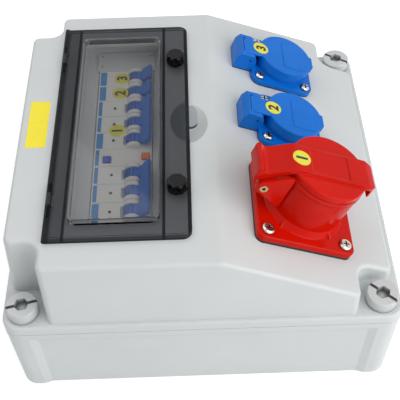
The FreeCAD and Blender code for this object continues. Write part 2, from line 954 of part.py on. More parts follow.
def blanking_plate():
    """Filler over the unused end of the breaker slot."""
    x0 = nose_x0 - panel_slot_margin
    x1 = nose_x1 + panel_slot_margin
    y0 = row_start
    y1 = row_start + blank_width
    cap = box(x0 - blank_overlap, x1 + blank_overlap, y0, y1 + blank_overlap,
              well_bottom, well_bottom + blank_thickness)
    plug = box(x0, x1, y0, y1, well_bottom - panel_thickness, well_bottom)
    hollow = box(x0 + wall, x1 - wall, y0 + wall, y1 - wall, well_bottom - panel_thickness, well_bottom)
    holes = []
    half = blank_hole / 2.0
    for x in (x0 + blank_hole, x1 - blank_hole):
        for y in (y0 + 2.0 * wall, y1 - wall):
            holes.append(box(x - half, x + half, y - half, y + half,
                             well_bottom, well_bottom + blank_thickness))
    return fused([cap, plug.cut(hollow)]).cut(holes)


# Breakers, rail and terminal bars

def pole_centre(y0, pole):
    """Middle of a pole counted from the far face of a device."""
    return y0 - module_width * (pole + 0.5)


def breaker_body(y0, modules, poles, pockets=()):
    """Device body: stepped case, toggle slots between arched ridges, claws for the rail."""
    y_far = y0 - module_gap / 2.0
    y_near = y0 - module_width * modules + module_gap / 2.0
    x0 = nose_offset - breaker_length / 2.0
    x1 = nose_offset + breaker_length / 2.0
    shoulder = rail_front + shoulder_depth
    rear = rail_front - rail_claw
    soft = breaker_round
    case = profile([
        (x0, rear, soft), (x1, rear, soft), (x1, shoulder, soft), (nose_x1, shoulder, 0),
        (nose_x1, nose_top, soft), (nose_x0, nose_top, soft), (nose_x0, shoulder, 0), (x0, shoulder, soft),
    ], y_near, y_far)
    half = rail_width / 2.0
    cuts = [box(nose_offset - half, nose_offset + half, y_near, y_far, rear, rail_front)]
    ridges = []
    for pole in poles:
        middle = pole_centre(y0, pole)
        slot = drum_width / 2.0 + drum_clearance
        edge = slot + ridge_width
        ridge = rod_y(ridge_radius, toggle_x, toggle_z, middle - edge, middle + edge)
        ridges.append(ridge.common(box(x0, x1, y_near, y_far, toggle_z, box_height)))
        cuts.append(rod_y(drum_radius + drum_clearance, toggle_x, toggle_z, middle - slot, middle + slot))
        cuts.append(box(toggle_x - toggle_slot_length / 2.0, toggle_x + toggle_slot_length / 2.0,
                        middle - slot, middle + slot, toggle_z, box_height))
        reach = slot + stub_length
        cuts.append(rod_y(stub_radius + stub_clearance, toggle_x, toggle_z, middle - reach, middle + reach))
    for place in pockets:
        cuts += button_pocket(place, y0)
    return fused([case] + ridges).cut(cuts)


def toggle(y0, poles, bar_far, bar_near, chamfer=0.0):
    """Toggle: one drum per pole on stub axles, with a handle bar across all of them."""
    pieces = []
    for pole in poles:
        middle = pole_centre(y0, pole)
        half = drum_width / 2.0
        pieces.append(rod_y(drum_radius, toggle_x, toggle_z, middle - half, middle + half))
        reach = half + drum_clearance + stub_length - stub_clearance
        pieces.append(rod_y(stub_radius, toggle_x, toggle_z, middle - reach, middle + reach))
        pieces.append(box(0, handle_inner + handle_overlap, middle - half, middle + half,
                          -handle_thickness / 2.0, handle_thickness / 2.0))
        pieces[-1].rotate(Vector(0, 0, 0), Vector(0, 1, 0), -handle_angle)
        pieces[-1].translate(Vector(toggle_x, 0, toggle_z))
    corners = [
        (handle_inner, bar_near, 0), (handle_outer, bar_near, handle_round),
        (handle_outer, bar_far, handle_round), (handle_inner, bar_far - chamfer, 0),
    ]
    bar = plate(corners, -handle_thickness / 2.0, handle_thickness / 2.0)
    tip = handle_outer - edge_tolerance
    bar = bar.makeFillet(handle_round, [edge for edge in bar.Edges if edge.BoundBox.XMin > tip])
    bar.rotate(Vector(0, 0, 0), Vector(0, 1, 0), -handle_angle)
    bar.translate(Vector(toggle_x, 0, toggle_z))
    return fused(pieces + [bar])


def button_levels():
    """Heights of a button's chamber roof, collar top, collar bottom and chamber floor."""
    roof = nose_top - button_roof
    collar_top = roof - button_clearance
    collar_bottom = collar_top - button_collar_height
    return roof, collar_top, collar_bottom, collar_bottom - button_stroke - button_clearance


def button_pocket(place, y0):
    """Cuts for one push button: a square shaft with a wider chamber for its collar."""
    x = nose_offset + place[0]
    y = y0 + place[1]
    half = button_size / 2.0 + button_clearance
    chamber = half + button_collar
    roof, _, _, floor = button_levels()
    return [
        box(x - half, x + half, y - half, y + half, floor, nose_top),
        box(x - chamber, x + chamber, y - chamber, y + chamber, floor, roof),
    ]


def push_button(place, y0):
    """Square push button kept in by a collar."""
    x = nose_offset + place[0]
    y = y0 + place[1]
    half = button_size / 2.0
    collar = half + button_collar
    _, collar_top, collar_bottom, _ = button_levels()
    cap = rounded_box(x - half, x + half, y - half, y + half,
                      collar_bottom, nose_top + button_proud, button_round)
    ring = box(x - collar, x + collar, y - collar, y + collar, collar_bottom, collar_top)
    return fused([cap, ring])


def din_rail():
    """Top-hat rail that carries the row of breakers."""
    half = rail_width / 2.0
    crown = rail_crown / 2.0
    low = rail_front - rail_depth
    y0 = row_end - rail_overhang
    y1 = row_start + rail_overhang
    brim = rail_front - rail_thickness
    floor = low + rail_thickness
    inner = crown - rail_thickness
    middle = nose_offset
    hat = profile([
        (middle - half, brim, 0), (middle - crown, brim, 0), (middle - crown, low, 0),
        (middle + crown, low, 0), (middle + crown, brim, 0), (middle + half, brim, 0),
        (middle + half, rail_front, 0), (middle + inner, rail_front, 0), (middle + inner, floor, 0),
        (middle - inner, floor, 0), (middle - inner, rail_front, 0), (middle - half, rail_front, 0),
    ], y0, y1)
    holes = [rod(rail_screw_radius, nose_offset, y, low, rail_front) for y in bracket_places()]
    return hat.cut(holes)


def bracket_places():
    """Middles of the two rail brackets."""
    inset = rail_overhang - bracket_width / 2.0
    return [row_end - inset, row_start + inset]


def rail_brackets():
    """Two bent-steel bridges between the back wall and the rail."""
    top = rail_front - rail_depth
    half = bracket_length / 2.0
    foot = half + bracket_flange
    inner = half - bracket_thickness
    low = back_wall
    step = low + bracket_thickness
    roof = top - bracket_thickness
    middle = nose_offset
    brackets = []
    for y in bracket_places():
        bridge = profile([
            (middle - foot, low, 0), (middle - inner, low, 0), (middle - inner, roof, 0),
            (middle + inner, roof, 0), (middle + inner, low, 0), (middle + foot, low, 0),
            (middle + foot, step, 0), (middle + half, step, 0), (middle + half, top, 0),
            (middle - half, top, 0), (middle - half, step, 0), (middle - foot, step, 0),
        ], y - bracket_width / 2.0, y + bracket_width / 2.0)
        brackets.append(bridge.cut(rod(rail_screw_radius, middle, y, roof, top)))
    return Part.makeCompound(brackets)


def rail_screws():
    """Screws that hold the rail to its brackets."""
    low = rail_front - rail_depth
    screws = []
    for y in bracket_places():
        head = rod(rail_screw_head, nose_offset, y, low + rail_thickness,
                   low + rail_thickness + rail_screw_head_height)
        shank = rod(rail_screw_radius, nose_offset, y, low - 2.0 * bracket_thickness, low + rail_thickness)
        screws.append(fused([head, shank]))
    return Part.makeCompound(screws)


def terminal_bar(x):
    """Brass bar with a row of clamp screws."""
    half = bar_length / 2.0
    low = back_wall + bar_rise
    bar = box(x - bar_section / 2.0, x + bar_section / 2.0, -half, half, low, low + bar_section)
    pitch = bar_length / bar_screws
    screws = []
    for step in range(bar_screws):
        y = pitch * (step + 0.5) - half
        screws.append(rod(bar_screw_radius, x, y, low + bar_section, low + bar_section + bar_screw_radius))
    return fused([bar] + screws)


def bar_feet():
    """Insulating feet under the ends of the terminal bars."""
    feet = []
    for x in bar_positions.values():
        for side in (-1, 1):
            y = side * (bar_length - bar_foot_length) / 2.0
            feet.append(box(x - bar_foot_width / 2.0, x + bar_foot_width / 2.0, y - bar_foot_length / 2.0,
                            y + bar_foot_length / 2.0, back_wall, back_wall + bar_rise))
    return Part.makeCompound(feet)


# Socket pieces, drawn about (0, 0, 0) on the panel with the hinge towards -X

def hinge_spring(x, z, inner, width, leg):
    """Close-wound torsion spring on a hinge pin, with the leg that rests on the housing."""
    turns = max(2, round(width / spring_wire))
    pitch = width / turns
    outer = inner + spring_wire
    coil = [tube_y(outer - spring_groove, inner, x, z, -width / 2.0, width / 2.0)]
    for turn in range(turns):
        middle = pitch * (turn + 0.5) - width / 2.0
        coil.append(tube_y(outer, inner, x, z, middle - pitch / 3.0, middle + pitch / 3.0))
    return fused(coil + [leg])


def schuko_outline(grow):
    """Corners of the flange together with the hinge block's foot."""
    half = schuko_flange / 2.0 + grow
    block = schuko_block_width / 2.0 + grow
    reach = schuko_hinge_reach + schuko_block_reach + grow
    return [
        (half, -half, schuko_corner), (half, half, schuko_corner), (-half, half, schuko_corner),
        (-half, block, 0), (-reach, block, schuko_block_round), (-reach, -block, schuko_block_round),
        (-half, -block, 0),
        (-half, -half, schuko_corner),
    ]


def schuko_gasket_sheet():
    """Thin gasket between a domestic socket and the panel."""
    sheet = plate(schuko_outline(0), 0, schuko_gasket)
    holes = [rod(schuko_body_radius, 0, 0, 0, schuko_gasket)]
    for x, y in corner_points(schuko_fixing / 2.0, schuko_fixing / 2.0):
        holes.append(rod(socket_screw_radius, x, y, 0, schuko_gasket))
    return sheet.cut(holes)


def schuko_housing():
    """Front of a socket: flange, plug recess with ring and collar, hinge block and ears."""
    bottom = schuko_gasket
    top = bottom + schuko_flange_thickness
    pivot_x = -schuko_hinge_reach
    pivot_z = schuko_hinge_height
    flange = plate(schuko_outline(0), bottom, top)
    lip = pivot_z + schuko_block_height
    rear = pivot_x - schuko_block_reach
    half = schuko_block_width / 2.0
    block = profile([
        (rear, bottom, 0), (pivot_x - schuko_ear_radius, bottom, 0), (pivot_x - schuko_ear_radius, lip, 0),
        (rear + schuko_block_chamfer / 2.0, lip, 0), (rear, lip - schuko_block_chamfer, 0),
    ], -half, half)
    block = block.common(soft_bar(half, bottom, lip, schuko_hinge_round, rear, pivot_x))
    inner = half - schuko_ear_width
    floor = schuko_mouth_height - schuko_recess_depth
    pocket = rod_y(schuko_pocket_radius, pivot_x, pivot_z, -inner, inner)
    pocket = pocket.common(box(rear, -schuko_ring_radius, -inner, inner, bottom + schuko_pocket_web, lip))
    body = fused([
        flange, block,
        rod(schuko_ring_radius, 0, 0, top, schuko_ring_height),
        rod(schuko_collar_radius, 0, 0, schuko_ring_height, schuko_mouth_height),
        rod(schuko_body_radius, 0, 0, floor, bottom),
    ]).cut(pocket)
    ears = []
    for side in (-1, 1):
        y0, y1 = sorted((side * inner, side * half))
        ears.append(rod_y(schuko_ear_radius, pivot_x, pivot_z, y0, y1))
        ears.append(profile([
            (pivot_x - schuko_ear_radius, bottom, 0), (pivot_x + schuko_foot_reach, bottom, 0),
            (pivot_x + schuko_foot_reach, top, 0), (pivot_x + schuko_ear_radius, pivot_z, 0),
            (pivot_x, pivot_z, 0), (pivot_x, pivot_z + schuko_ear_radius, 0),
            (pivot_x - schuko_ear_radius, pivot_z + schuko_ear_radius, 0),
        ], y0, y1))
    body = fused([body] + ears)
    cuts = [
        rod(schuko_recess_radius, 0, 0, floor, schuko_mouth_height),
        rod_y(lid_pin_radius, pivot_x, pivot_z, -half, half),
    ]
    for x, y in corner_points(schuko_fixing / 2.0, schuko_fixing / 2.0):
        cuts.append(rod(socket_screw_radius, x, y, bottom, top))
    return body.cut(cuts)


def schuko_insert():
    """Contact insert that closes a domestic socket's recess from behind."""
    floor = schuko_mouth_height - schuko_recess_depth
    insert = rod(schuko_body_radius, 0, 0, -schuko_body_depth, floor)
    cuts = []
    for y in (-schuko_pin_spacing / 2.0, schuko_pin_spacing / 2.0):
        cuts.append(rod(schuko_pin_radius, 0, y, floor - wall, floor))
        cuts.append(rod(schuko_pin_radius + sleeve_wall, 0, y, floor - wall - sleeve_length, floor - wall))
    for side in (-1, 1):
        cuts.append(earth_clip(side, floor))
    return insert.cut(cuts)


def earth_clip(side, floor):
    """Side earthing strip that stands in the recess floor."""
    outer = side * earth_clip_reach
    inner = side * (earth_clip_reach - earth_clip_thickness)
    x0, x1 = sorted((inner, outer))
    return box(x0, x1, -earth_clip_width / 2.0, earth_clip_width / 2.0, floor - wall,
               schuko_mouth_height - wall)


def schuko_contacts():
    """Two pin sleeves and two earthing strips of one socket."""
    floor = schuko_mouth_height - schuko_recess_depth
    pieces = []
    for y in (-schuko_pin_spacing / 2.0, schuko_pin_spacing / 2.0):
        pieces.append(tube(schuko_pin_radius + sleeve_wall, schuko_pin_radius, 0, y,
                           floor - wall - sleeve_length, floor - wall))
    for side in (-1, 1):
        pieces.append(earth_clip(side, floor))
    return Part.makeCompound(pieces)


def schuko_lid():
    """Hinged lid: round cap with skirt, hinge arm between the ears, finger lip and raised pad."""
    pivot_x = -schuko_hinge_reach
    pivot_z = schuko_hinge_height
    top = schuko_lid_height
    under = top - schuko_lid_thickness
    inner = schuko_block_width / 2.0 - schuko_ear_width - lid_side_clearance
    skirt_low = schuko_ring_height + schuko_skirt_gap
    cap = rod(schuko_lid_radius, 0, 0, skirt_low, top)
    lip = rounded_box(0, schuko_lip_reach, -schuko_lip_width / 2.0, schuko_lip_width / 2.0,
                      top - schuko_lip_height, top, schuko_lip_round)
    shell = fused([cap, lip])
    shell = shell.makeFillet(schuko_lid_round, level_edges(shell, top))
    hollow = rod(schuko_lid_radius - schuko_skirt_wall, 0, 0, skirt_low, under)
    pad_length, pad_width = schuko_pad
    pad = rounded_box(schuko_pad_offset - pad_length / 2.0, schuko_pad_offset + pad_length / 2.0,
                      -pad_width / 2.0, pad_width / 2.0, under, top + schuko_pad_height, schuko_pad_round)
    arm = soft_bar(inner, under, top, schuko_hinge_round, pivot_x - schuko_hood_reach, 0)
    barrel = rod_y(schuko_barrel_radius, pivot_x, pivot_z, -inner, inner)
    web = box(pivot_x - schuko_barrel_radius, pivot_x + schuko_barrel_radius, -inner, inner, pivot_z, under)
    room = spring_width / 2.0 + lid_side_clearance
    spring_room = box(pivot_x - schuko_pocket_radius, pivot_x + schuko_pocket_radius, -room, room,
                      pivot_z - schuko_pocket_radius, under)
    hinge = fused([barrel, web]).cut([
        rod_y(lid_pin_radius + lid_pin_clearance, pivot_x, pivot_z, -inner, inner), spring_room])
    return fused([shell.cut(hollow), arm, pad, hinge])


def schuko_pin():
    """Hinge pin of a domestic lid."""
    half = schuko_block_width / 2.0 - lid_side_clearance
    return rod_y(lid_pin_radius, -schuko_hinge_reach, schuko_hinge_height, -half, half)


def schuko_spring():
    """Spring that shuts a domestic lid."""
    x = -schuko_hinge_reach
    z = schuko_hinge_height
    inner = lid_pin_radius + spring_clearance
    foot = schuko_gasket + schuko_pocket_web + spring_clearance
    end = spring_width / 2.0
    leg = box(x - spring_wire / 2.0, x + spring_wire / 2.0, end - spring_wire, end, foot, z - inner)
    return hinge_spring(x, z, inner, spring_width, leg)


def cee_gasket_sheet():
    """Rubber gasket under the three-phase socket."""
    half = cee_flange / 2.0
    sheet = rounded_box(-half, half, -half, half, 0, cee_gasket, cee_corner)
    holes = [rod(cee_collar_radius, 0, 0, 0, cee_gasket)]
    for x, y in corner_points(cee_fixing / 2.0, cee_fixing / 2.0):
        holes.append(rod(socket_screw_radius, x, y, 0, cee_gasket))
    return sheet.cut(holes)


def neck_line(offset):
    """Start and direction of the line along the lid's neck, a distance above the hinge pin."""
    angle = math.atan2(cee_mouth_height - cee_hinge_height + cee_lid_gap - cee_ear_radius,
                       cee_hinge_reach - cee_barrel_radius)
    normal = (-math.sin(angle), math.cos(angle))
    start = (offset * normal[0] - cee_hinge_reach, offset * normal[1] + cee_hinge_height)
    return start, (math.cos(angle), math.sin(angle))


def along(line, x):
    """Point of a line where it passes a given X."""
    (x0, z0), (dx, dz) = line
    return (x, z0 + (x - x0) * dz / dx)


def level(line, z):
    """Point of a line where it reaches a given height."""
    (x0, z0), (dx, dz) = line
    return (x0 + (z - z0) * dx / dz, z)


def cee_housing():
    """Flange, straight barrel with mouth collar, keyway and two hinge ears."""
    half = cee_flange / 2.0
    bottom = cee_gasket
    top = bottom + cee_flange_thickness
    flange = rounded_box(-half, half, -half, half, bottom, top, cee_corner)
    flange = flange.makeFillet(cee_flange_round, level_edges(flange, top))
    pieces = [
        flange,
        rod(cee_barrel_radius, 0, 0, -cee_tail_depth, cee_mouth_height),
        rod(cee_collar_radius, 0, 0, cee_mouth_height - cee_collar_height, cee_mouth_height),
        Part.makeCone(cee_barrel_radius + cee_foot_spread, cee_barrel_radius, 2.0 * cee_foot_spread,
                      Vector(0, 0, top)),
    ]
    ear_edge = neck_line(cee_ear_radius)
    heel_angle = math.radians(cee_ear_heel_angle)
    ear_heel = (-cee_hinge_reach - cee_ear_radius * math.cos(heel_angle),
                cee_hinge_height - cee_ear_radius * math.sin(heel_angle))
    for side in (-1, 1):
        y0, y1 = sorted((side * cee_ear_inner, side * (cee_ear_inner + cee_ear_width)))
        pieces.append(rod_y(cee_ear_radius, -cee_hinge_reach, cee_hinge_height, y0, y1))
        pieces.append(profile([
            (*ear_edge[0], 0), (*ear_heel, 0),
            (-cee_barrel_radius - cee_foot_spread, cee_hinge_height / 2.0 + cee_foot_spread, 0),
            (-cee_bore_radius, cee_hinge_height / 2.0, 0), (-cee_bore_radius, cee_mouth_height, 0),
            (*level(ear_edge, cee_mouth_height), 0),
        ], y0, y1).cut(rod(cee_bore_radius, 0, 0, 0, cee_mouth_height)))
    for step in range(cee_gusset_count):
        gusset = profile([
            (cee_barrel_radius - cee_gusset_bite, top, 0), (cee_barrel_radius + cee_gusset_size, top, 0),
            (cee_barrel_radius - cee_gusset_bite, top + cee_gusset_size, 0),
        ], -cee_gusset_thickness / 2.0, cee_gusset_thickness / 2.0)
        gusset.rotate(Vector(0, 0, 0), Vector(0, 0, 1), cee_gusset_turn + 360.0 * step / cee_gusset_count)
        pieces.append(gusset)
    body = fused(pieces)
    key = box(0, cee_bore_radius + cee_key_depth, -cee_key_width / 2.0, cee_key_width / 2.0,
              cee_insert_height, cee_mouth_height)
    reach = cee_ear_inner + cee_ear_width
    cuts = [
        rod(cee_bore_radius, 0, 0, -cee_tail_depth, cee_mouth_height), key,
        rod_y(cee_pin_radius, -cee_hinge_reach, cee_hinge_height, -reach, reach),
    ]
    for x, y in corner_points(cee_fixing / 2.0, cee_fixing / 2.0):
        cuts.append(rod(socket_screw_radius, x, y, bottom, top))
    return body.cut(cuts)


def contact_places():
    """Five contacts on their circle as (x, y, radius), the earth contact first."""
    places = []
    for step in range(contact_count):
        angle = 2.0 * math.pi * step / contact_count
        radius = earth_contact_radius if step == 0 else contact_radius
        places.append((contact_circle * math.cos(angle), contact_circle * math.sin(angle), radius))
    return places


def contact_holes():
    """Holes for the five contacts, from the carrier's face to their tails."""
    low = cee_insert_height - contact_recess - contact_length
    return [rod(radius, x, y, low, cee_insert_height) for x, y, radius in contact_places()]


def cee_carrier():
    """Contact carrier that stands in the barrel."""
    carrier = rod(cee_insert_radius, 0, 0, -cee_tail_depth, cee_insert_height)
    return carrier.cut(contact_holes())


def cee_rear_body():
    """Rear body that closes the barrel from behind and holds the contacts' tails."""
    floor = -cee_tail_depth
    body = fused([
        rod(cee_barrel_radius, 0, 0, floor - cee_insert_flange, floor),
        rod(cee_rear_radius, 0, 0, -cee_rear_depth, floor - cee_insert_flange),
    ])
    return body.cut(contact_holes())


def cee_contacts():
    """Five tubular contacts."""
    top = cee_insert_height - contact_recess
    pieces = []
    for x, y, radius in contact_places():
        pieces.append(tube(radius, radius - contact_wall, x, y, top - contact_length, top))
    return Part.makeCompound(pieces)


def cee_lid():
    """Hinged lid: round cap, raised strap with latch nose, broad neck and hinge knuckles."""
    top = cee_lobe_height
    under = top - cee_plate_thickness
    low = cee_mouth_height + cee_lid_gap
    cap = rod(cee_lid_radius, 0, 0, low, top)
    cap = cap.makeFillet(cee_lid_round, level_edges(cap, top))
    cap = cap.cut(rod(cee_lid_radius - cee_skirt_wall, 0, 0, low, under))
    strap_top = top + cee_strap_height
    strap_half = cee_strap_width / 2.0
    nose_in = cee_collar_radius + cee_nose_clearance
    nose_low = top - cee_nose_drop
    heel = -cee_hinge_reach - cee_flap_reach
    flap_low = cee_hinge_height + cee_flap_drop
    flap_in = heel + cee_flap_thickness
    lower = neck_line(cee_neck_offset)
    upper = neck_line(cee_neck_offset + cee_neck_thickness)
    strap = profile([
        (heel, flap_low, cee_flap_round),
        (flap_in, flap_low, 0),
        (*along(lower, flap_in), 0),
        (*level(lower, under), 0),
        (nose_in, under, cee_nose_root_round),
        (nose_in, nose_low, cee_nose_tip_round),
        (nose_in + cee_nose_thickness, nose_low, cee_nose_heel_round),
        (cee_nose_reach, nose_low + cee_nose_thickness, cee_nose_belly_round),
        (cee_nose_reach - cee_nose_curl, top, cee_nose_back_round),
        (cee_barrel_radius, strap_top, cee_strap_round),
        (*level(upper, strap_top), cee_crest_round),
        (*along(upper, -cee_hinge_reach - cee_valley_reach), cee_valley_round),
        (-cee_hinge_reach - cee_ridge_reach, cee_ridge_height, cee_ridge_round),
        (heel, cee_ridge_height - cee_ridge_round, cee_ridge_round / 2.0),
    ], -strap_half, strap_half)
    strap = strap.common(plate([
        (heel, -strap_half, 0), (cee_nose_reach, -strap_half, cee_nose_round),
        (cee_nose_reach, strap_half, cee_nose_round), (heel, strap_half, 0),
    ], 0, strap_top))
    strap = strap.cut(rod(cee_lid_radius - cee_skirt_wall, 0, 0, 0, under))
    pad = rounded_box(cee_pad_offset - cee_pad_length / 2.0, cee_pad_offset + cee_pad_length / 2.0,
                      -cee_pad_width / 2.0, cee_pad_width / 2.0, strap_top - cee_pad_depth, strap_top,
                      cee_pad_round)
    pieces = [cap, strap]
    outer = cee_ear_inner - lid_side_clearance
    for side in (-1, 1):
        y0, y1 = sorted((side * cee_knuckle_inner, side * outer))
        pieces.append(rod_y(cee_knuckle_radius, -cee_hinge_reach, cee_hinge_height, y0, y1))
        web_x0 = -cee_hinge_reach - cee_knuckle_radius
        web_x1 = -cee_hinge_reach + cee_knuckle_radius
        pieces.append(profile([
            (web_x0, cee_hinge_height, 0), (web_x1, cee_hinge_height, 0),
            (web_x1, along(lower, web_x1)[1] + cee_knuckle_overlap, 0),
            (web_x0, along(lower, web_x0)[1] + cee_knuckle_overlap, 0),
        ], y0, y1))
    bore = rod_y(cee_pin_radius + lid_pin_clearance, -cee_hinge_reach, cee_hinge_height, -outer, outer)
    return fused(pieces).cut([pad, bore])


def cee_lid_seal():
    """Sealing ring inside the lid, over the barrel's mouth."""
    outer = cee_lid_radius - cee_skirt_wall
    return tube(outer, outer - cee_seal_width, 0, 0, cee_mouth_height + cee_lid_gap,
                cee_lobe_height - cee_plate_thickness)


def cee_pin():
    """Hollow hinge rivet with an eyelet at each end."""
    reach = cee_ear_inner + cee_ear_width
    x = -cee_hinge_reach
    z = cee_hinge_height
    pieces = [rod_y(cee_pin_radius, x, z, -reach, reach)]
    for y in (-reach - cee_eyelet_height, reach):
        pieces.append(rod_y(cee_eyelet_radius, x, z, y, y + cee_eyelet_height))
    ends = reach + cee_eyelet_height
    return fused(pieces).cut(rod_y(cee_pin_bore, x, z, -ends, ends))


def cee_spring():
    """Spring that shuts the three-phase lid."""
    width = 2.0 * (cee_knuckle_inner - lid_side_clearance)
    x = -cee_hinge_reach
    z = cee_hinge_height
    inner = cee_pin_radius + spring_clearance
    leg = box(x + inner, -cee_barrel_radius, width / 2.0 - spring_wire, width / 2.0,
              z - spring_wire / 2.0, z + spring_wire / 2.0)
    leg = leg.cut(rod(cee_barrel_radius, 0, 0, 0, cee_mouth_height))
    return hinge_spring(x, z, inner, width, leg)


def socket_screw(x, y, seat, head_radius):
    """Domed screw through a socket flange into its boss."""
    top = seat + socket_screw_head_height
    head = rod(head_radius, x, y, seat, top)
    head = head.makeFillet(socket_screw_dome, level_edges(head, top))
    shank = rod(socket_screw_radius, x, y, seat - socket_screw_length, seat)
    reach = cross_length / 2.0
    half = cross_width / 2.0
    cross = [
        box(x - reach, x + reach, y - half, y + half, top - cross_depth, top),
        box(x - half, x + half, y - reach, y + reach, top - cross_depth, top),
    ]
    return fused([head, shank]).cut(cross)


def socket_screws(places, head_radius):
    """Fixing screws of the sockets at the given places."""
    screws = []
    for place, offset, seat in socket_fixings():
        if place in places:
            screws.append(on_slope(socket_screw(*offset, seat, head_radius), place))
    return Part.makeCompound(screws)


# Cable gland

def gland_face():
    """Outside face of the pad that the gland seats on."""
    return half_width + gland_pad_height - column_relief


def gland_body():
    """Threaded gland body with its hexagon collar."""
    face = gland_face()
    end = face + gland_collar + gland_nut_length / 2.0
    inside = cavity_y - gland_locknut - gland_thread_spare
    pieces = [
        hexagon(gland_hex, face, face + gland_collar, gland_x, gland_z),
        rod_y(gland_thread_radius, gland_x, gland_z, inside, end),
    ]
    seat = end - gland_seal_length
    cuts = [
        rod_y(gland_bore, gland_x, gland_z, inside, end),
        rod_y(gland_seal_radius, gland_x, gland_z, seat, end),
    ]
    return fused(pieces).cut(cuts)


def gland_nut():
    """Domed clamping nut."""
    start = gland_face() + gland_collar
    end = start + gland_nut_length
    thread_end = start + gland_nut_length / 2.0
    nut = hexagon(gland_nut_hex, start, end, gland_x, gland_z)
    radius = gland_nut_hex / math.sqrt(3)
    dome = Part.makeCone(radius + gland_dome_flare, gland_nut_hex / 2.0 - gland_dome_inset, gland_nut_length,
                         Vector(gland_x, start, gland_z), Vector(0, 1, 0))
    nut = nut.common(dome)
    return nut.cut([
        rod_y(gland_thread_radius, gland_x, gland_z, start, thread_end),
        rod_y(gland_nut_opening, gland_x, gland_z, thread_end, end),
    ])


def gland_seal():
    """Rubber sleeve squeezed round the cable, with a spigot in the body and one in the nut."""
    end = gland_face() + gland_collar + gland_nut_length / 2.0
    start = end - gland_seal_length
    sections = [
        (gland_bore - gland_seal_clearance, start - gland_seal_spigot, start),
        (gland_seal_radius, start, end),
        (gland_nut_opening - gland_seal_clearance, end, end + gland_seal_spigot),
    ]
    return fused([tube_y(radius, gland_seal_bore, gland_x, gland_z, y0, y1) for radius, y0, y1 in sections])


def gland_locknut_ring():
    """Locknut inside the wall."""
    nut = hexagon(gland_hex, cavity_y - gland_locknut, cavity_y, gland_x, gland_z)
    return nut.cut(rod_y(gland_thread_radius, gland_x, gland_z, cavity_y - gland_locknut, cavity_y))


# All pieces by name

def breaker_nodes():
    """Bodies, toggles and buttons of the breaker row."""
    nodes = {}
    y0 = row_start
    for name, kinds in row_modules.items():
        modules = len(kinds)
        first = kinds.index("p")
        poles = range(first, modules)
        bar_far = y0 - first * module_width - handle_side_gap
        bar_near = y0 - modules * module_width + handle_side_gap
        if name == "rcbo":
            nodes["rcbo_body"] = breaker_body(y0, modules, poles, (test_button_place, reset_button_place))
            nodes["rcbo_toggle"] = toggle(y0, poles, bar_far + handle_side_gap, bar_near, handle_chamfer)
            nodes["rcbo_test_button"] = push_button(test_button_place, y0)
            nodes["rcbo_reset_button"] = push_button(reset_button_place, y0)
        else:
            nodes[name + "_body"] = breaker_body(y0, modules, poles)
            nodes[name + "_toggle"] = toggle(y0, poles, bar_far, bar_near)
        y0 -= modules * module_width
    return nodes


def socket_nodes():
    """All pieces of the three sockets, set on the slope."""
    nodes = {}
    parts = {
        "housing": schuko_housing(),
        "insert": schuko_insert(),
        "contacts": schuko_contacts(),
        "lid": schuko_lid(),
        "gasket": schuko_gasket_sheet(),
    }
    for name, place in schuko_places.items():
        for piece, shape in parts.items():
            nodes["schuko_" + name + "_" + piece] = on_slope(shape, place)
    parts = {
        "housing": cee_housing(),
        "contact_carrier": cee_carrier(),
        "rear_body": cee_rear_body(),
        "contacts": cee_contacts(),
        "lid": cee_lid(),
        "lid_seal": cee_lid_seal(),
        "hinge_pin": cee_pin(),
        "lid_spring": cee_spring(),
        "gasket": cee_gasket_sheet(),
    }
    for piece, shape in parts.items():
        nodes["cee_" + piece] = on_slope(shape, cee_place)
    places = list(schuko_places.values())
    nodes["schuko_hinge_pins"] = Part.makeCompound([on_slope(schuko_pin(), place) for place in places])
    nodes["schuko_lid_springs"] = Part.makeCompound([on_slope(schuko_spring(), place) for place in places])
    nodes["schuko_screws"] = socket_screws(places, schuko_screw_head)
    nodes["cee_screws"] = socket_screws([cee_place], cee_screw_head)
    return nodes


def all_nodes():
    """Every piece of the socket box by its node name."""
    nodes = {
        "back_box": back_box(),
        "rim_gasket": rim_gasket_ring(gasket_depth + seam_gap),
        "front_cover": front_cover(),
        "window_frame": window_frame(),
        "cover_screws": cover_screws(),
        "door_frame": door_frame(),
        "door_pane": door_pane(),
        "door_pull_tab": door_pull_tab(),
        "door_seal": door_seal_ring(seal_depth + door_gap / 4.0),
        "door_hinge_knuckles": hinge_knuckles(),
        "door_hinge_pins": hinge_pins(),
        "knob_far": knob(1),
        "knob_near": knob(-1),
        "knob_inserts": knob_inserts(),
        "inner_panel": inner_panel(),
        "panel_screws": panel_screws(),
        "blanking_plate": blanking_plate(),
        "din_rail": din_rail(),
        "rail_brackets": rail_brackets(),
        "rail_screws": rail_screws(),
        "bar_feet": bar_feet(),
        "gland_body": gland_body(),
        "gland_nut": gland_nut(),
        "gland_seal": gland_seal(),
        "gland_locknut": gland_locknut_ring(),
    }
    for name, x in bar_positions.items():
        nodes[name] = terminal_bar(x)
    nodes.update(breaker_nodes())
    nodes.update(socket_nodes())
    return nodes


os.makedirs("parts", exist_ok=True)
for node, shape in all_nodes().items():
    shape.exportStep("parts/" + node + ".step")
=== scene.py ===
import json
import math

import bmesh
import bpy
from mathutils import Matrix, Vector

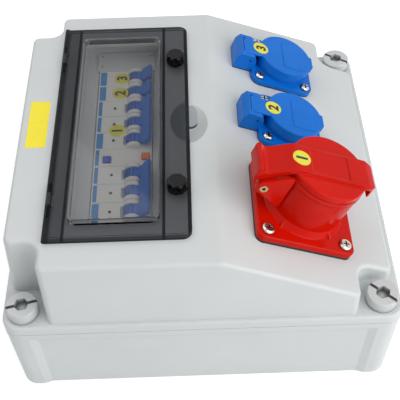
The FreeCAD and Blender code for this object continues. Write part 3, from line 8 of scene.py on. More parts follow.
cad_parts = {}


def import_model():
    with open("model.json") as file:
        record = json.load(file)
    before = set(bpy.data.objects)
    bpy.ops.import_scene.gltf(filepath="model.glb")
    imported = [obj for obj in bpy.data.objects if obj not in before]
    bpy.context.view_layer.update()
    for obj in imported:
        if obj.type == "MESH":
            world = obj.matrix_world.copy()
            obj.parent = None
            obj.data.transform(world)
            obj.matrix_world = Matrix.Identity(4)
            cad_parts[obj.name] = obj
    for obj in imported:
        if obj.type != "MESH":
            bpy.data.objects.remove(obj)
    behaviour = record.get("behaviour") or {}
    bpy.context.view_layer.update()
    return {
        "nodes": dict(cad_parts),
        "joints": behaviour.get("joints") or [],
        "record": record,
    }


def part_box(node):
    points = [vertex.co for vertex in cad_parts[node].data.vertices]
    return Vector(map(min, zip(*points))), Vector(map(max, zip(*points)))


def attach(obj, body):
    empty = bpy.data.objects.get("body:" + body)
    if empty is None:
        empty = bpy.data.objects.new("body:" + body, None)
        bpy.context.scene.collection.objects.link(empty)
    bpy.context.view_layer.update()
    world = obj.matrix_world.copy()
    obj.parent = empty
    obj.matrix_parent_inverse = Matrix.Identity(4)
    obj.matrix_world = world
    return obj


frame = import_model()

MM = 0.001
NODES = frame["nodes"]
JOINTS = {joint["name"]: joint for joint in frame["joints"]}

# Sizes shared with the part, in millimetres and degrees
SLOPE_ANGLE = 21.8
MODULE = 18.0
NOSE_ABOVE_AXIS = 3.5
NOSE_LEFT = -79.8
COVER_TOP = 146.0
DRUM_RADIUS = 6.6

# Breakers: node, joint of the toggle and first module with a drum
DEVICES = (
    ("breaker_3_body", "breaker_3_switch", 0),
    ("breaker_2_body", "breaker_2_switch", 0),
    ("breaker_1_body", "breaker_1_switch", 0),
    ("rcbo_body", "rcbo_switch", 1),
)

# Number stickers, in millimetres
STICKER_RADIUS = 6.6
STICKER_THICKNESS = 0.12
STICKER_CROWN = 0.02
DIGIT_SIZE = 11.5
DIGIT_WEIGHT = 0.45
DIGIT_THICKNESS = 0.05
DIGIT_LIFT = 0.03
CREST_START = 3.1
CREST_RADIUS = 8.0

# Stickers on the lids: number, body, distance from the hinge along and above the slope, bent or not
LID_STICKERS = (
    ("3", "schuko_far_lid", 8.0, 6.05, False),
    ("2", "schuko_mid_lid", 11.8, 6.05, False),
    ("1", "cee_lid", 20.6, 20.85, True),
)

# Stickers on the breakers: number, distance from the toggle's middle along the row, place in X
BREAKER_STICKERS = (("3", 0.0, -60.6), ("2", 0.0, -61.6), ("1", -7.3, -62.7))

# Plain label on the cover, in millimetres
LABEL_LEFT = -128.9
LABEL_RIGHT = -113.6
LABEL_NEAR = -21.0
LABEL_FAR = 28.7
LABEL_CORNER = 1.6

# Strips, rivets and seams on the breakers' noses, in millimetres
PRINT_THICKNESS = 0.06
STRIP_INSET = 1.4
STRIP_WIDE = 5.1
STRIP_NARROW = 2.9
STRIP_MARGIN = 0.9
STRIP_CORNER = 0.6
RIVET_X = -65.2
RIVET_RADIUS = 1.15
RIVET_HEIGHT = 0.3
RIVET_CROWN = 0.25
SEAM_X = -66.0
SEAM_LENGTH = 21.0
SEAM_WIDTH = 0.35
SEAM_CORNER = 0.1

# Grip ribs on the toggles' drums, dark blue as painted shade of grooves, in millimetres and degrees
RIB_LENGTH = 8.2
RIB_WIDTH = 0.8
RIB_CORNER = 0.32
RIB_HEIGHT = 0.25
RIB_SINK = 0.03
RIB_ANGLES = (44.0, 20.0, -4.0)

# Points round a circle, steps round a corner and steps of a bend
STICKER_POINTS = 40
RIVET_POINTS = 20
CORNER_STEPS = 6
RIB_CORNER_STEPS = 3
SEAM_CORNER_STEPS = 2
BEND_STEPS = 5

# Share of a film's outline at which its raised middle begins
CROWN_SHARE = 0.93

# Moulded plastics: colour on the screen, and the finish where it isn't the usual one
PLASTICS = {
    "housing_grey": dict(
        colour=(204, 208, 208), roughness=0.46, grain=0.7, depth=0.06, edge=0.8, wear=1.05, cloud=0.02),
    # The screws' slots and corners take painted shade
    "screw_grey": dict(colour=(196, 199, 200), roughness=0.4, crevice_shade=(104, 106, 108)),
    "smoke_plastic": dict(
        colour=(34, 35, 38), roughness=0.3, grain=0.5, depth=0.03, edge=0.4, wear=1.2, specular=0.2),
    "black_plastic": dict(
        colour=(8, 8, 9), roughness=0.3, grain=0.5, depth=0.04, edge=0.4, wear=2.0, cloud=0.1,
        specular=0.2),
    "panel_grey": dict(colour=(206, 209, 212), roughness=0.45, edge=0.4, wear=1.05, cloud=0.03),
    "device_white": dict(
        colour=(232, 232, 230), roughness=0.42, depth=0.04, edge=0.35, wear=1.04, cloud=0.02),
    "toggle_blue": dict(colour=(38, 116, 212), roughness=0.36, depth=0.04, edge=0.4, specular=0.3),
    # The dark blue of the toggles' ribs is painted shade of grooves
    "rib_blue": dict(colour=(14, 54, 124), roughness=0.36, depth=0.04, edge=0.2, specular=0.3),
    "button_orange": dict(colour=(240, 116, 52), roughness=0.38, depth=0.04, edge=0.4),
    "button_blue": dict(colour=(66, 96, 196), roughness=0.38, depth=0.04, edge=0.4),
    "blue_plastic": dict(
        colour=(2, 108, 204), roughness=0.32, grain=0.7, edge=0.6, wear=1.25, cloud=0.06, specular=0.2),
    "red_plastic": dict(
        colour=(198, 18, 2), roughness=0.16, grain=0.7, depth=0.04, edge=1.5, wear=1.25, cloud=0.06,
        specular=0.12),
    "gland_grey": dict(colour=(188, 191, 192), roughness=0.44),
}

# Metals: colour, roughness, stretch of the drawn marks along the axes, tarnish and painted shade in slots
METALS = {
    "steel": dict(colour=(172, 174, 176), roughness=0.32, stretch=(1.0, 0.1, 1.0)),
    # The nickel's slots and corners take painted shade
    "nickel": dict(colour=(214, 210, 202), roughness=0.16, tarnish=(160, 150, 130), crevice_shade=(52, 44, 38)),
    "zinc": dict(colour=(204, 186, 140), roughness=0.24, tarnish=(150, 128, 84)),
    "brass": dict(
        colour=(196, 158, 82), roughness=0.3, stretch=(1.0, 0.15, 1.0), tarnish=(140, 104, 52)),
}

# See-through plastics: tint for the eye, shade on what is behind them, roughness and refraction
GLASSES = {
    "smoke_dark": dict(tint=(158, 159, 162), shade=(207, 208, 210), roughness=0.05, ior=1.15),
    "smoke_clear": dict(tint=(207, 206, 206), shade=(221, 221, 221), roughness=0.03, ior=1.3),
    "clear_tab": dict(tint=(222, 226, 228), shade=(232, 234, 236), roughness=0.12, ior=1.35),
}

# Rubber and foam
RUBBERS = {
    "black_rubber": (28, 27, 28),
    "seal_foam": (196, 197, 198),
}

# Sticker films and prints: colour and roughness
FILMS = {
    "sticker_yellow": ((222, 216, 66), 0.38),
    "label_yellow": ((246, 228, 36), 0.38),
    "strip_blue": ((40, 138, 206), 0.38),
    "print_black": ((30, 28, 26), 0.5),
    "seam_grey": ((176, 176, 176), 0.6),
}

# Nodes that take another finish than their slot's
OTHER_FINISH = {
    "cee_hinge_pin": "zinc",
    "door_seal": "seal_foam",
    "schuko_hinge_pins": "rib_blue",
}

# How far roughness strays below and above its middle
PLASTIC_STRAY = (0.05, 0.09)
METAL_STRAY = (0.08, 0.14)
GLASS_STRAY = (0.0, 0.05)
FILM_STRAY = (0.06, 0.12)

# Lightness of clouds, tarnish, talc and film beside the plain colour
CLOUD_LIGHT = 0.6
TARNISH_SHADE = 0.7
TALC_LIGHT = 2.2
FILM_SHADES = (0.97, 1.02)

# Depth within which painted shade darkens a slot, in millimetres
CREVICE_SHADE_REACH = 5.0

# Samples of the nodes that look round a point
EDGE_SAMPLES = 6
CREVICE_SHADE_SAMPLES = 8

# Colour sockets of a Mix node and shader sockets of a Mix Shader node
MIX_FIRST = 6
MIX_SECOND = 7
MIX_RESULT = 2
SHADER_FIRST = 1
SHADER_SECOND = 2

# Darker tints of the door, with the places of their edges in millimetres; the tint over the finger dish is
# painted shade
STRIP_TINT = (132, 133, 137)
DISH_SHADE_TINT = (112, 113, 117)
RIM_TINT = (66, 67, 70)
RIB_TINT = (54, 55, 58)
SIDE_RIM_WIDTH = 2.0
FREE_RIM_WIDTH = 2.8
HINGE_WIDTH = 4.6
HINGE_BLEND = 1.6
TINT_BLEND = 0.3
LONG_RIB_OFFSET = 2.6
LONG_RIB_HALF = 1.05
DISH_LENGTH = 29.0
DISH_WIDTH = 42.0

# Blend round the painted shade over the finger dish as a share of its size
DISH_BLEND = 0.04

# Camera fitted to the photograph, in millimetres and degrees
CAMERA_PLACE = (-2.02, -450.73, 591.99)
CAMERA_AIM = (1.11, -17.82, 75.0)
CAMERA_ROLL = -1.593
CAMERA_LENS = 74.28
CAMERA_SENSOR = 36.0

# Lamps: place in metres and power in watts
LAMPS = {
    "key": ((0.74, -0.7, 0.76), 11.6),
    "fill": ((-0.5, 0.3, 1.1), 4.6),
}
LAMP_AIM = (0.0, 0.0, 0.1)
LAMP_SIZE = 1.2

# Floor and surroundings, sizes in metres
FLOOR_SIZE = 12.0
FLOOR_DROP = 0.0005
FLOOR_COLOUR = (236, 237, 238)
FLOOR_ROUGHNESS = 0.9
FLOOR_SPECULAR = 0.1
FLOOR_GLOW = 0.45
WORLD_LIGHT = 0.43
WHITE = (1.0, 1.0, 1.0, 1.0)


# Colour and node helpers

def srgb(red, green, blue):
    """Linear colour from screen values of 0 to 255."""
    linear = []
    for value in (red, green, blue):
        share = value / 255.0
        linear.append(share / 12.92 if share <= 0.04045 else ((share + 0.055) / 1.055) ** 2.4)
    return (*linear, 1.0)


def scaled(colour, factor):
    """A colour made lighter or darker."""
    return tuple(min(1.0, channel * factor) for channel in colour[:3]) + (1.0,)


def math_node(tree, operation, *values):
    """Result of one step of arithmetic on outputs or plain numbers."""
    node = tree.nodes.new("ShaderNodeMath")
    node.operation = operation
    for socket, value in zip(node.inputs, values):
        if isinstance(value, float):
            socket.default_value = value
        else:
            tree.links.new(value, socket)
    return node.outputs["Value"]


def largest(tree, *shares):
    """Largest of several outputs."""
    result = shares[0]
    for share in shares[1:]:
        result = math_node(tree, "MAXIMUM", result, share)
    return result


class Surface:
    """One procedural material, built up from small groups of nodes."""

    def __init__(self, name):
        self.material = bpy.data.materials.new(name)
        self.material.use_nodes = True
        self.tree = self.material.node_tree
        self.shader = self.tree.nodes["Principled BSDF"]
        self.coords = self.add("ShaderNodeTexCoord").outputs["Object"]

    def add(self, kind, **settings):
        """New node with some of its properties set."""
        node = self.tree.nodes.new(kind)
        for key, value in settings.items():
            setattr(node, key, value)
        return node

    def link(self, source, target):
        """Joins an output to an input."""
        self.tree.links.new(source, target)

    def fix(self, socket, value):
        """Sets one of the shader's inputs all over the surface."""
        self.shader.inputs[socket].default_value = value

    def feed(self, socket, source):
        """Joins an output to one of the shader's inputs."""
        self.link(source, self.shader.inputs[socket])

    def noise(self, size, detail=3.0, stretch=None):
        """Noise whose features are about the given size in millimetres."""
        node = self.add("ShaderNodeTexNoise")
        node.inputs["Scale"].default_value = 1.0 / (size * MM)
        node.inputs["Detail"].default_value = detail
        vector = self.coords
        if stretch is not None:
            mapping = self.add("ShaderNodeMapping")
            mapping.inputs["Scale"].default_value = stretch
            self.link(vector, mapping.inputs["Vector"])
            vector = mapping.outputs["Vector"]
        self.link(vector, node.inputs["Vector"])
        return node.outputs["Fac"]

    def spread(self, source, low=0.0, high=1.0, source_low=0.3, source_high=0.7):
        """Output mapped to a range of values."""
        node = self.add("ShaderNodeMapRange")
        node.inputs["From Min"].default_value = source_low
        node.inputs["From Max"].default_value = source_high
        node.inputs["To Min"].default_value = low
        node.inputs["To Max"].default_value = high
        self.link(source, node.inputs["Value"])
        return node.outputs["Result"]

    def past(self, value, edge, blend):
        """Share of 1 beyond an edge in metres, or before it if the blend in millimetres is negative."""
        return self.spread(value, source_low=edge - blend * MM, source_high=edge + blend * MM)

    def blend(self, share, first, second):
        """Mix of two colours, each a value or an output."""
        node = self.add("ShaderNodeMix", data_type="RGBA")
        self.link(share, node.inputs["Factor"])
        for socket, colour in ((node.inputs[MIX_FIRST], first), (node.inputs[MIX_SECOND], second)):
            if isinstance(colour, tuple):
                socket.default_value = colour
            else:
                self.link(colour, socket)
        return node.outputs[MIX_RESULT]

    def soft_edges(self, radius):
        """Normal with edges rounded by a radius in millimetres."""
        bevel = self.add("ShaderNodeBevel", samples=EDGE_SAMPLES)
        bevel.inputs["Radius"].default_value = radius * MM
        return bevel.outputs["Normal"]

    def edge_share(self, rounded):
        """How near the surface is to an edge, from 0 to 1."""
        geometry = self.add("ShaderNodeNewGeometry")
        dot = self.add("ShaderNodeVectorMath", operation="DOT_PRODUCT")
        self.link(rounded, dot.inputs[0])
        self.link(geometry.outputs["Normal"], dot.inputs[1])
        return self.spread(dot.outputs["Value"], low=1.0, high=0.0, source_low=0.86, source_high=0.99)

    def paint_crevice_shade(self, base, crevice_shade):
        """Colour that turns to painted shade in slots and corners."""
        hollow = self.add("ShaderNodeAmbientOcclusion", samples=CREVICE_SHADE_SAMPLES)
        hollow.inputs["Distance"].default_value = CREVICE_SHADE_REACH * MM
        share = self.spread(hollow.outputs["AO"], low=1.0, high=0.0, source_low=0.5, source_high=0.95)
        return self.blend(share, base, srgb(*crevice_shade))

    def roughen(self, pattern, roughness, stray, **source):
        """Roughness that follows a pattern a little below and above its middle."""
        below, above = stray
        self.feed("Roughness", self.spread(pattern, roughness - below, roughness + above, **source))

    def relief(self, height, strength, depth, normal=None):
        """Bump from a height, its depth in millimetres."""
        bump = self.add("ShaderNodeBump")
        bump.inputs["Strength"].default_value = strength
        bump.inputs["Distance"].default_value = depth * MM
        self.link(height, bump.inputs["Height"])
        if normal is not None:
            self.link(normal, bump.inputs["Normal"])
        self.feed("Normal", bump.outputs["Normal"])


# Materials

def moulded(name, colour, roughness, grain=0.6, depth=0.05, edge=0.5, wear=1.12, cloud=0.05,
            specular=0.5, crevice_shade=None):
    """Injection-moulded plastic: grain, faint clouds, uneven sheen, paler edges, painted shade in its slots.
    """
    surface = Surface(name)
    plain = srgb(*colour)
    rounded = surface.soft_edges(edge)
    clouds = surface.spread(surface.noise(size=38.0, detail=4.0))
    base = surface.blend(clouds, scaled(plain, 1.0 - cloud), scaled(plain, 1.0 + cloud * CLOUD_LIGHT))
    patches = surface.spread(surface.noise(size=6.0, detail=5.0), low=0.15, high=0.75)
    rubbed = math_node(surface.tree, "MULTIPLY", surface.edge_share(rounded), patches)
    base = surface.blend(rubbed, base, scaled(plain, wear))
    # Painted shade darkens slots and corners
    if crevice_shade is not None:
        base = surface.paint_crevice_shade(base, crevice_shade)
    surface.feed("Base Color", base)
    surface.roughen(surface.noise(size=9.0, detail=6.0), roughness, PLASTIC_STRAY)
    surface.fix("Specular IOR Level", specular)
    surface.relief(surface.noise(size=grain), strength=0.35, depth=depth, normal=rounded)
    return surface.material


def rubber(name, colour):
    """Matt rubber or foam with a fine talc bloom."""
    surface = Surface(name)
    plain = srgb(*colour)
    rounded = surface.soft_edges(radius=0.3)
    talc = surface.noise(size=4.0, detail=6.0)
    bloom = surface.spread(talc, high=0.5, source_low=0.45, source_high=0.8)
    surface.feed("Base Color", surface.blend(bloom, plain, scaled(plain, TALC_LIGHT)))
    surface.feed("Roughness", surface.spread(surface.noise(size=2.0, detail=4.0), low=0.62, high=0.85))
    surface.relief(surface.noise(size=0.5), strength=0.4, depth=0.05, normal=rounded)
    return surface.material


def metal(name, colour, roughness, stretch=(1.0, 1.0, 1.0), tarnish=None, crevice_shade=None):
    """Plated or plain metal with drawn marks, a little tarnish and painted shade in its slots."""
    surface = Surface(name)
    plain = srgb(*colour)
    tarnished = scaled(plain, TARNISH_SHADE) if tarnish is None else srgb(*tarnish)
    rounded = surface.soft_edges(radius=0.25)
    spots = surface.noise(size=5.0, detail=6.0)
    stain = surface.spread(spots, high=0.6, source_low=0.4, source_high=0.75)
    base = surface.blend(stain, plain, tarnished)
    # Painted shade darkens slots and corners
    if crevice_shade is not None:
        base = surface.paint_crevice_shade(base, crevice_shade)
    surface.feed("Base Color", base)
    surface.fix("Metallic", 1.0)
    marks = surface.noise(size=0.8, detail=4.0, stretch=stretch)
    surface.roughen(marks, roughness, METAL_STRAY)
    surface.relief(marks, strength=0.12, depth=0.03, normal=rounded)
    return surface.material


def smoked(name, tint, shade, roughness, ior):
    """Surface of scratched see-through plastic: its tint for the eye, its shade on what is behind it."""
    surface = Surface(name)
    surface.fix("Base Color", srgb(*tint))
    surface.fix("Transmission Weight", 1.0)
    surface.fix("IOR", ior)
    scratches = surface.noise(size=1.4, detail=5.0, stretch=(1.0, 0.12, 1.0))
    surface.roughen(scratches, roughness, GLASS_STRAY, source_low=0.4, source_high=0.8)
    surface.relief(surface.noise(size=14.0, detail=2.0), strength=0.04, depth=0.1)
    clear = surface.add("ShaderNodeBsdfTransparent")
    clear.inputs["Color"].default_value = srgb(*shade)
    path = surface.add("ShaderNodeLightPath")
    mix = surface.add("ShaderNodeMixShader")
    lit = largest(surface.tree, path.outputs["Is Shadow Ray"], path.outputs["Is Diffuse Ray"])
    surface.link(lit, mix.inputs["Fac"])
    surface.link(surface.shader.outputs["BSDF"], mix.inputs[SHADER_FIRST])
    surface.link(clear.outputs["BSDF"], mix.inputs[SHADER_SECOND])
    surface.link(mix.outputs["Shader"], surface.tree.nodes["Material Output"].inputs["Surface"])
    return surface


def dish_shade_share(surface, edge):
    """Share of 1 in the oval of painted shade over the finger dish, whose middle is on the door's free edge.
    """
    oval = surface.add("ShaderNodeMapping")
    oval.inputs["Scale"].default_value = (2.0 / (DISH_LENGTH * MM), 2.0 / (DISH_WIDTH * MM), 0.0)
    oval.inputs["Location"].default_value = (-2.0 * edge / (DISH_LENGTH * MM), 0.0, 0.0)
    surface.link(surface.coords, oval.inputs["Vector"])
    reach = surface.add("ShaderNodeVectorMath", operation="LENGTH")
    surface.link(oval.outputs["Vector"], reach.inputs[0])
    outside, inside = 1.0 + DISH_BLEND, 1.0 - DISH_BLEND
    return surface.spread(reach.outputs["Value"], source_low=outside, source_high=inside)


def tint_door(surface):
    """Darker tints on the door's hinge side, round its rim and along its ribs, and painted shade over the
    finger dish.
    """
    tree = surface.tree
    low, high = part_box("door_frame")
    pane_low, pane_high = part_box("door_pane")
    split = surface.add("ShaderNodeSeparateXYZ")
    surface.link(surface.coords, split.inputs["Vector"])
    across = split.outputs["X"]
    aside = math_node(tree, "ABSOLUTE", split.outputs["Y"])
    rib_places = (pane_low.x - LONG_RIB_OFFSET * MM, pane_high.x + LONG_RIB_OFFSET * MM)
    ribs = []
    for middle in rib_places:
        away = math_node(tree, "ABSOLUTE", math_node(tree, "SUBTRACT", across, middle))
        ribs.append(surface.past(away, LONG_RIB_HALF * MM, -TINT_BLEND))
    rim = (
        surface.past(aside, high.y - SIDE_RIM_WIDTH * MM, TINT_BLEND),
        surface.past(across, high.x - FREE_RIM_WIDTH * MM, TINT_BLEND),
        surface.past(across, low.x + HINGE_WIDTH * MM, -HINGE_BLEND),
    )
    layers = (
        (surface.past(across, rib_places[0], -TINT_BLEND), STRIP_TINT),
        # Painted shade of the finger dish seen through the door
        (dish_shade_share(surface, high.x), DISH_SHADE_TINT),
        (largest(tree, *rim), RIM_TINT),
        (largest(tree, *ribs), RIB_TINT),
    )
    base = tuple(surface.shader.inputs["Base Color"].default_value)
    for share, tint in layers:
        base = surface.blend(share, base, srgb(*tint))
    surface.feed("Base Color", base)


def vinyl(name, colour, roughness):
    """Printed sticker film with slight unevenness and handling marks."""
    surface = Surface(name)
    shades = [scaled(srgb(*colour), factor) for factor in FILM_SHADES]
    patches = surface.spread(surface.noise(size=3.5, detail=5.0))
    surface.feed("Base Color", surface.blend(patches, *shades))
    surface.roughen(surface.noise(size=2.0, detail=4.0), roughness, FILM_STRAY)
    surface.relief(surface.noise(size=1.2), strength=0.2, depth=0.02)
    return surface.material


def make_materials():
    """Every material by its name, which is the record's slot where it has one."""
    glasses = {name: smoked(name, **finish) for name, finish in GLASSES.items()}
    tint_door(glasses["smoke_dark"])
    materials = {name: surface.material for name, surface in glasses.items()}
    for name, finish in PLASTICS.items():
        materials[name] = moulded(name, **finish)
    for name, finish in METALS.items():
        materials[name] = metal(name, **finish)
    for name, colour in RUBBERS.items():
        materials[name] = rubber(name, colour)
    for name, (colour, roughness) in FILMS.items():
        materials[name] = vinyl(name, colour, roughness)
    return materials


def dress_nodes(materials):
    """Gives each CAD node the material of its slot, or the other finish that it takes."""
    for part in frame["record"]["subparts"]:
        node = part["node"]
        mesh = NODES[node].data
        mesh.materials.clear()
        mesh.materials.append(materials[OTHER_FINISH.get(node, part["material_slot"])])


# Added pieces

def place(x, y, z, tilt=0.0):
    """Matrix that sets a flat drawing with its top towards -X on a face, tilted about Y."""
    turn = Matrix.Rotation(math.radians(tilt), 4, "Y") @ Matrix.Rotation(math.radians(90), 4, "Z")
    return Matrix.Translation(Vector((x, y, z)) * MM) @ turn


def add_piece(name, mesh, material, body, matrix):
    """Object from a bmesh in millimetres, with its place worked into the vertices."""
    bmesh.ops.transform(mesh, matrix=matrix @ Matrix.Scale(MM, 4), verts=mesh.verts)
    bmesh.ops.recalc_face_normals(mesh, faces=mesh.faces)
    data = bpy.data.meshes.new(name)
    mesh.to_mesh(data)
    mesh.free()
    data.materials.append(material)
    piece = bpy.data.objects.new(name, data)
    bpy.context.scene.collection.objects.link(piece)
    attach(piece, body)


def raise_outline(outline, thickness, crown=0.0):
    """Thin film over an outline of (x, y) points, with a slightly raised middle."""
    mesh = bmesh.new()
    low = [mesh.verts.new((x, y, 0.0)) for x, y in outline]
    high = [mesh.verts.new((x, y, thickness)) for x, y in outline]
    inner = [mesh.verts.new((x * CROWN_SHARE, y * CROWN_SHARE, thickness + crown)) for x, y in outline]
    count = len(outline)
    for index in range(count):
        after = (index + 1) % count
        mesh.faces.new((low[index], low[after], high[after], high[index]))
        mesh.faces.new((high[index], high[after], inner[after], inner[index]))
    mesh.faces.new(inner)
    mesh.faces.new(list(reversed(low)))
    return mesh


def circle(radius, points):
    """Points round a circle."""
    angles = [2.0 * math.pi * step / points for step in range(points)]
    return [(radius * math.cos(angle), radius * math.sin(angle)) for angle in angles]


def rounded_rectangle(width, height, radius, steps=CORNER_STEPS):
    """Points round a rectangle with round corners, about its middle."""
    points = []
    for quarter, (side_x, side_y) in enumerate(((1, 1), (-1, 1), (-1, -1), (1, -1))):
        middle_x = side_x * (width / 2.0 - radius)
        middle_y = side_y * (height / 2.0 - radius)
        for step in range(steps + 1):
            angle = math.radians(90.0 * quarter + 90.0 * step / steps)
            points.append((middle_x + radius * math.cos(angle), middle_y + radius * math.sin(angle)))
    return points


def digit_mesh(text):
    """Bmesh of a plain digit, centred, in millimetres."""
    curve = bpy.data.curves.new("digit", "FONT")
    curve.body = text
    curve.size = DIGIT_SIZE
    curve.align_x = "CENTER"
    curve.align_y = "CENTER"
    curve.extrude = DIGIT_THICKNESS / 2.0
    curve.offset = DIGIT_WEIGHT
    holder = bpy.data.objects.new("digit", curve)
    bpy.context.scene.collection.objects.link(holder)
    bpy.context.view_layer.update()
    evaluated = holder.evaluated_get(bpy.context.evaluated_depsgraph_get())
    mesh = bmesh.new()
    mesh.from_mesh(evaluated.to_mesh())
    bpy.data.objects.remove(holder)
    xs = [vertex.co.x for vertex in mesh.verts]
    ys = [vertex.co.y for vertex in mesh.verts]
    middle = Vector(((min(xs) + max(xs)) / 2.0, (min(ys) + max(ys)) / 2.0, 0.0))
    bmesh.ops.translate(mesh, vec=-middle, verts=mesh.verts)
    return mesh


def bend(mesh, start, radius):
    """Bends what lies beyond a line of a flat film down over a rounded edge."""
    end = max(vertex.co.y for vertex in mesh.verts)
    for step in range(BEND_STEPS):
        line = start + (end - start) * step / BEND_STEPS
        everything = mesh.verts[:] + mesh.edges[:] + mesh.faces[:]
        bmesh.ops.bisect_plane(mesh, geom=everything, plane_co=(0.0, line, 0.0),
                               plane_no=(0.0, 1.0, 0.0))
    for vertex in mesh.verts:
        angle = max(0.0, vertex.co.y - start) / radius
        if angle > 0.0:
            reach = radius + vertex.co.z
            vertex.co.y = start + reach * math.sin(angle)
            vertex.co.z = reach * math.cos(angle) - radius


def number_sticker(name, text, body, matrix, materials, bent=False):
    """Round yellow sticker with a plain number, bent over the lid's crest where it lies on one."""
    film = raise_outline(circle(STICKER_RADIUS, STICKER_POINTS), STICKER_THICKNESS, STICKER_CROWN)
    digit = digit_mesh(text)
    bmesh.ops.translate(digit, vec=(0.0, 0.0, STICKER_THICKNESS + DIGIT_LIFT), verts=digit.verts)
    if bent:
        bend(film, CREST_START, CREST_RADIUS)
        bend(digit, CREST_START, CREST_RADIUS)
    add_piece(name, film, materials["sticker_yellow"], body, matrix)
    add_piece(name + "_digit", digit, materials["print_black"], body, matrix)


def joint_place(joint):
    """Place of a joint in millimetres."""
    return [value / MM for value in JOINTS[joint]["pos_m"]]


def slope_point(joint, along, above):
    """Point on the sloping face's own axes, measured from a lid's hinge."""
    angle = math.radians(SLOPE_ANGLE)
    x, y, z = joint_place(joint)
    return (x + along * math.cos(angle) + above * math.sin(angle), y,
            z - along * math.sin(angle) + above * math.cos(angle))


def lid_stickers(materials):
    """Number stickers on the three socket lids."""
    for text, body, along, above, bent in LID_STICKERS:
        point = slope_point(body + "_hinge", along, above)
        number_sticker("lid_number_" + text, text, body, place(*point, SLOPE_ANGLE), materials, bent)


def breaker_stickers(materials):
    """Number stickers on the three outgoing breakers."""
    for text, offset, x in BREAKER_STICKERS:
        _, y, z = joint_place(f"breaker_{text}_switch")
        seat = place(x, y + offset, z + NOSE_ABOVE_AXIS)
        number_sticker("breaker_number_" + text, text, "enclosure", seat, materials)


def module_middles(node):
    """Middles of a breaker's modules in millimetres, from its far end."""
    low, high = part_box(node)
    count = round((high.y - low.y) / MM / MODULE)
    return [high.y / MM - MODULE * (module + 0.5) for module in range(count)]


def breaker_prints(materials):
    """Label strips, pole seams and rivets on the breakers' noses."""
    for node, joint, first in DEVICES:
        nose = joint_place(joint)[2] + NOSE_ABOVE_AXIS
        middles = module_middles(node)
        for module, middle in enumerate(middles):
            width = STRIP_WIDE if module == len(middles) - 1 else STRIP_NARROW
            outline = rounded_rectangle(MODULE - 2.0 * STRIP_MARGIN, width, STRIP_CORNER)
            strip = raise_outline(outline, PRINT_THICKNESS)
            x = NOSE_LEFT + STRIP_INSET + width / 2.0
            add_piece(f"{node}_strip_{module}", strip, materials["strip_blue"], "enclosure",
                      place(x, middle, nose))
            if len(middles) > 1 and module >= first:
                rivet = raise_outline(circle(RIVET_RADIUS, RIVET_POINTS), RIVET_HEIGHT, RIVET_CROWN)
                add_piece(f"{node}_rivet_{module}", rivet, materials["print_black"], "enclosure",
                          place(RIVET_X, middle, nose))
            if module > 0:
                outline = rounded_rectangle(SEAM_WIDTH, SEAM_LENGTH, SEAM_CORNER, SEAM_CORNER_STEPS)
                seam = raise_outline(outline, PRINT_THICKNESS)
                add_piece(f"{node}_seam_{module}", seam, materials["seam_grey"], "enclosure",
                          place(SEAM_X, middle + MODULE / 2.0, nose))


def toggle_ribs(materials):
    """Grip ribs across each drum of the toggles, their dark blue painted shade of grooves."""
    seat = DRUM_RADIUS - RIB_SINK
    for node, joint, first in DEVICES:
        x, _, z = joint_place(joint)
        for module, middle in enumerate(module_middles(node)):
            if module < first:
                continue
            for index, angle in enumerate(RIB_ANGLES):
                turn = math.radians(angle)
                outline = rounded_rectangle(RIB_LENGTH, RIB_WIDTH, RIB_CORNER, RIB_CORNER_STEPS)
                rib = raise_outline(outline, RIB_HEIGHT)
                seated = place(x - seat * math.sin(turn), middle, z + seat * math.cos(turn), -angle)
                add_piece(f"{node}_rib_{module}_{index}", rib, materials["rib_blue"], JOINTS[joint]["child"],
                          seated)


def cover_label(materials):
    """Plain yellow sticker on the cover beside the door."""
    width = LABEL_FAR - LABEL_NEAR
    height = LABEL_RIGHT - LABEL_LEFT
    film = raise_outline(rounded_rectangle(width, height, LABEL_CORNER), STICKER_THICKNESS)
    add_piece("cover_label", film, materials["label_yellow"], "enclosure",
              place((LABEL_LEFT + LABEL_RIGHT) / 2.0, (LABEL_NEAR + LABEL_FAR) / 2.0, COVER_TOP))


# Stage, lights and camera

def seen_rays(tree):
    """1 for rays by which the eye, a reflection or glass sees the surroundings, 0 for other light."""
    path = tree.nodes.new("ShaderNodeLightPath")
    rays = ("Is Camera Ray", "Is Glossy Ray", "Is Transmission Ray")
    return largest(tree, *(path.outputs[ray] for ray in rays))


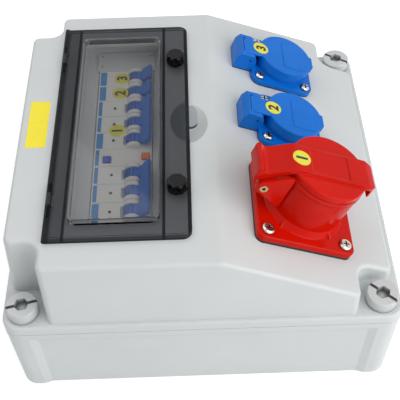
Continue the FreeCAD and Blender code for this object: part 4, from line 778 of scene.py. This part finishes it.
def floor():
    """Plain pale floor that keeps the object's shadow."""
    bpy.ops.mesh.primitive_plane_add(size=FLOOR_SIZE, location=(0.0, 0.0, -FLOOR_DROP))
    ground = bpy.context.object
    ground.name = "floor"
    material = bpy.data.materials.new("floor")
    material.use_nodes = True
    tree = material.node_tree
    shader = tree.nodes["Principled BSDF"]
    shader.inputs["Base Color"].default_value = srgb(*FLOOR_COLOUR)
    shader.inputs["Roughness"].default_value = FLOOR_ROUGHNESS
    shader.inputs["Specular IOR Level"].default_value = FLOOR_SPECULAR
    shader.inputs["Emission Color"].default_value = WHITE
    glow = math_node(tree, "MULTIPLY", seen_rays(tree), FLOOR_GLOW)
    tree.links.new(glow, shader.inputs["Emission Strength"])
    ground.data.materials.append(material)


def world():
    """Even white surroundings, full white where the camera or a reflection sees them."""
    scene = bpy.context.scene
    scene.world = bpy.data.worlds.new("studio")
    scene.world.use_nodes = True
    tree = scene.world.node_tree
    background = tree.nodes["Background"]
    background.inputs["Color"].default_value = WHITE
    strength = tree.nodes.new("ShaderNodeMapRange")
    strength.inputs["To Min"].default_value = WORLD_LIGHT
    strength.inputs["To Max"].default_value = 1.0
    tree.links.new(seen_rays(tree), strength.inputs["Value"])
    tree.links.new(strength.outputs["Result"], background.inputs["Strength"])


def lamp(name, location, power):
    """Soft square lamp aimed at the object, its place in metres and its power in watts."""
    data = bpy.data.lights.new(name, "AREA")
    data.size = LAMP_SIZE
    data.energy = power
    light = bpy.data.objects.new(name, data)
    light.location = location
    light.rotation_euler = (Vector(LAMP_AIM) - Vector(location)).to_track_quat("-Z", "Y").to_euler()
    bpy.context.scene.collection.objects.link(light)


def camera():
    """Camera at the photograph's angle."""
    data = bpy.data.cameras.new("camera")
    data.lens = CAMERA_LENS
    data.sensor_width = CAMERA_SENSOR
    view = bpy.data.objects.new("camera", data)
    position = Vector(CAMERA_PLACE) * MM
    aim = (Vector(CAMERA_AIM) * MM - position).to_track_quat("-Z", "Y").to_matrix().to_4x4()
    roll = Matrix.Rotation(math.radians(CAMERA_ROLL), 4, "Z")
    view.matrix_world = Matrix.Translation(position) @ aim @ roll
    bpy.context.scene.collection.objects.link(view)
    bpy.context.scene.camera = view


def build():
    """The whole scene round the frame."""
    materials = make_materials()
    dress_nodes(materials)
    lid_stickers(materials)
    breaker_prints(materials)
    toggle_ribs(materials)
    breaker_stickers(materials)
    cover_label(materials)
    floor()
    world()
    for name, (location, power) in LAMPS.items():
        lamp(name, location, power)
    camera()
    bpy.context.scene.view_settings.view_transform = "Standard"


build()
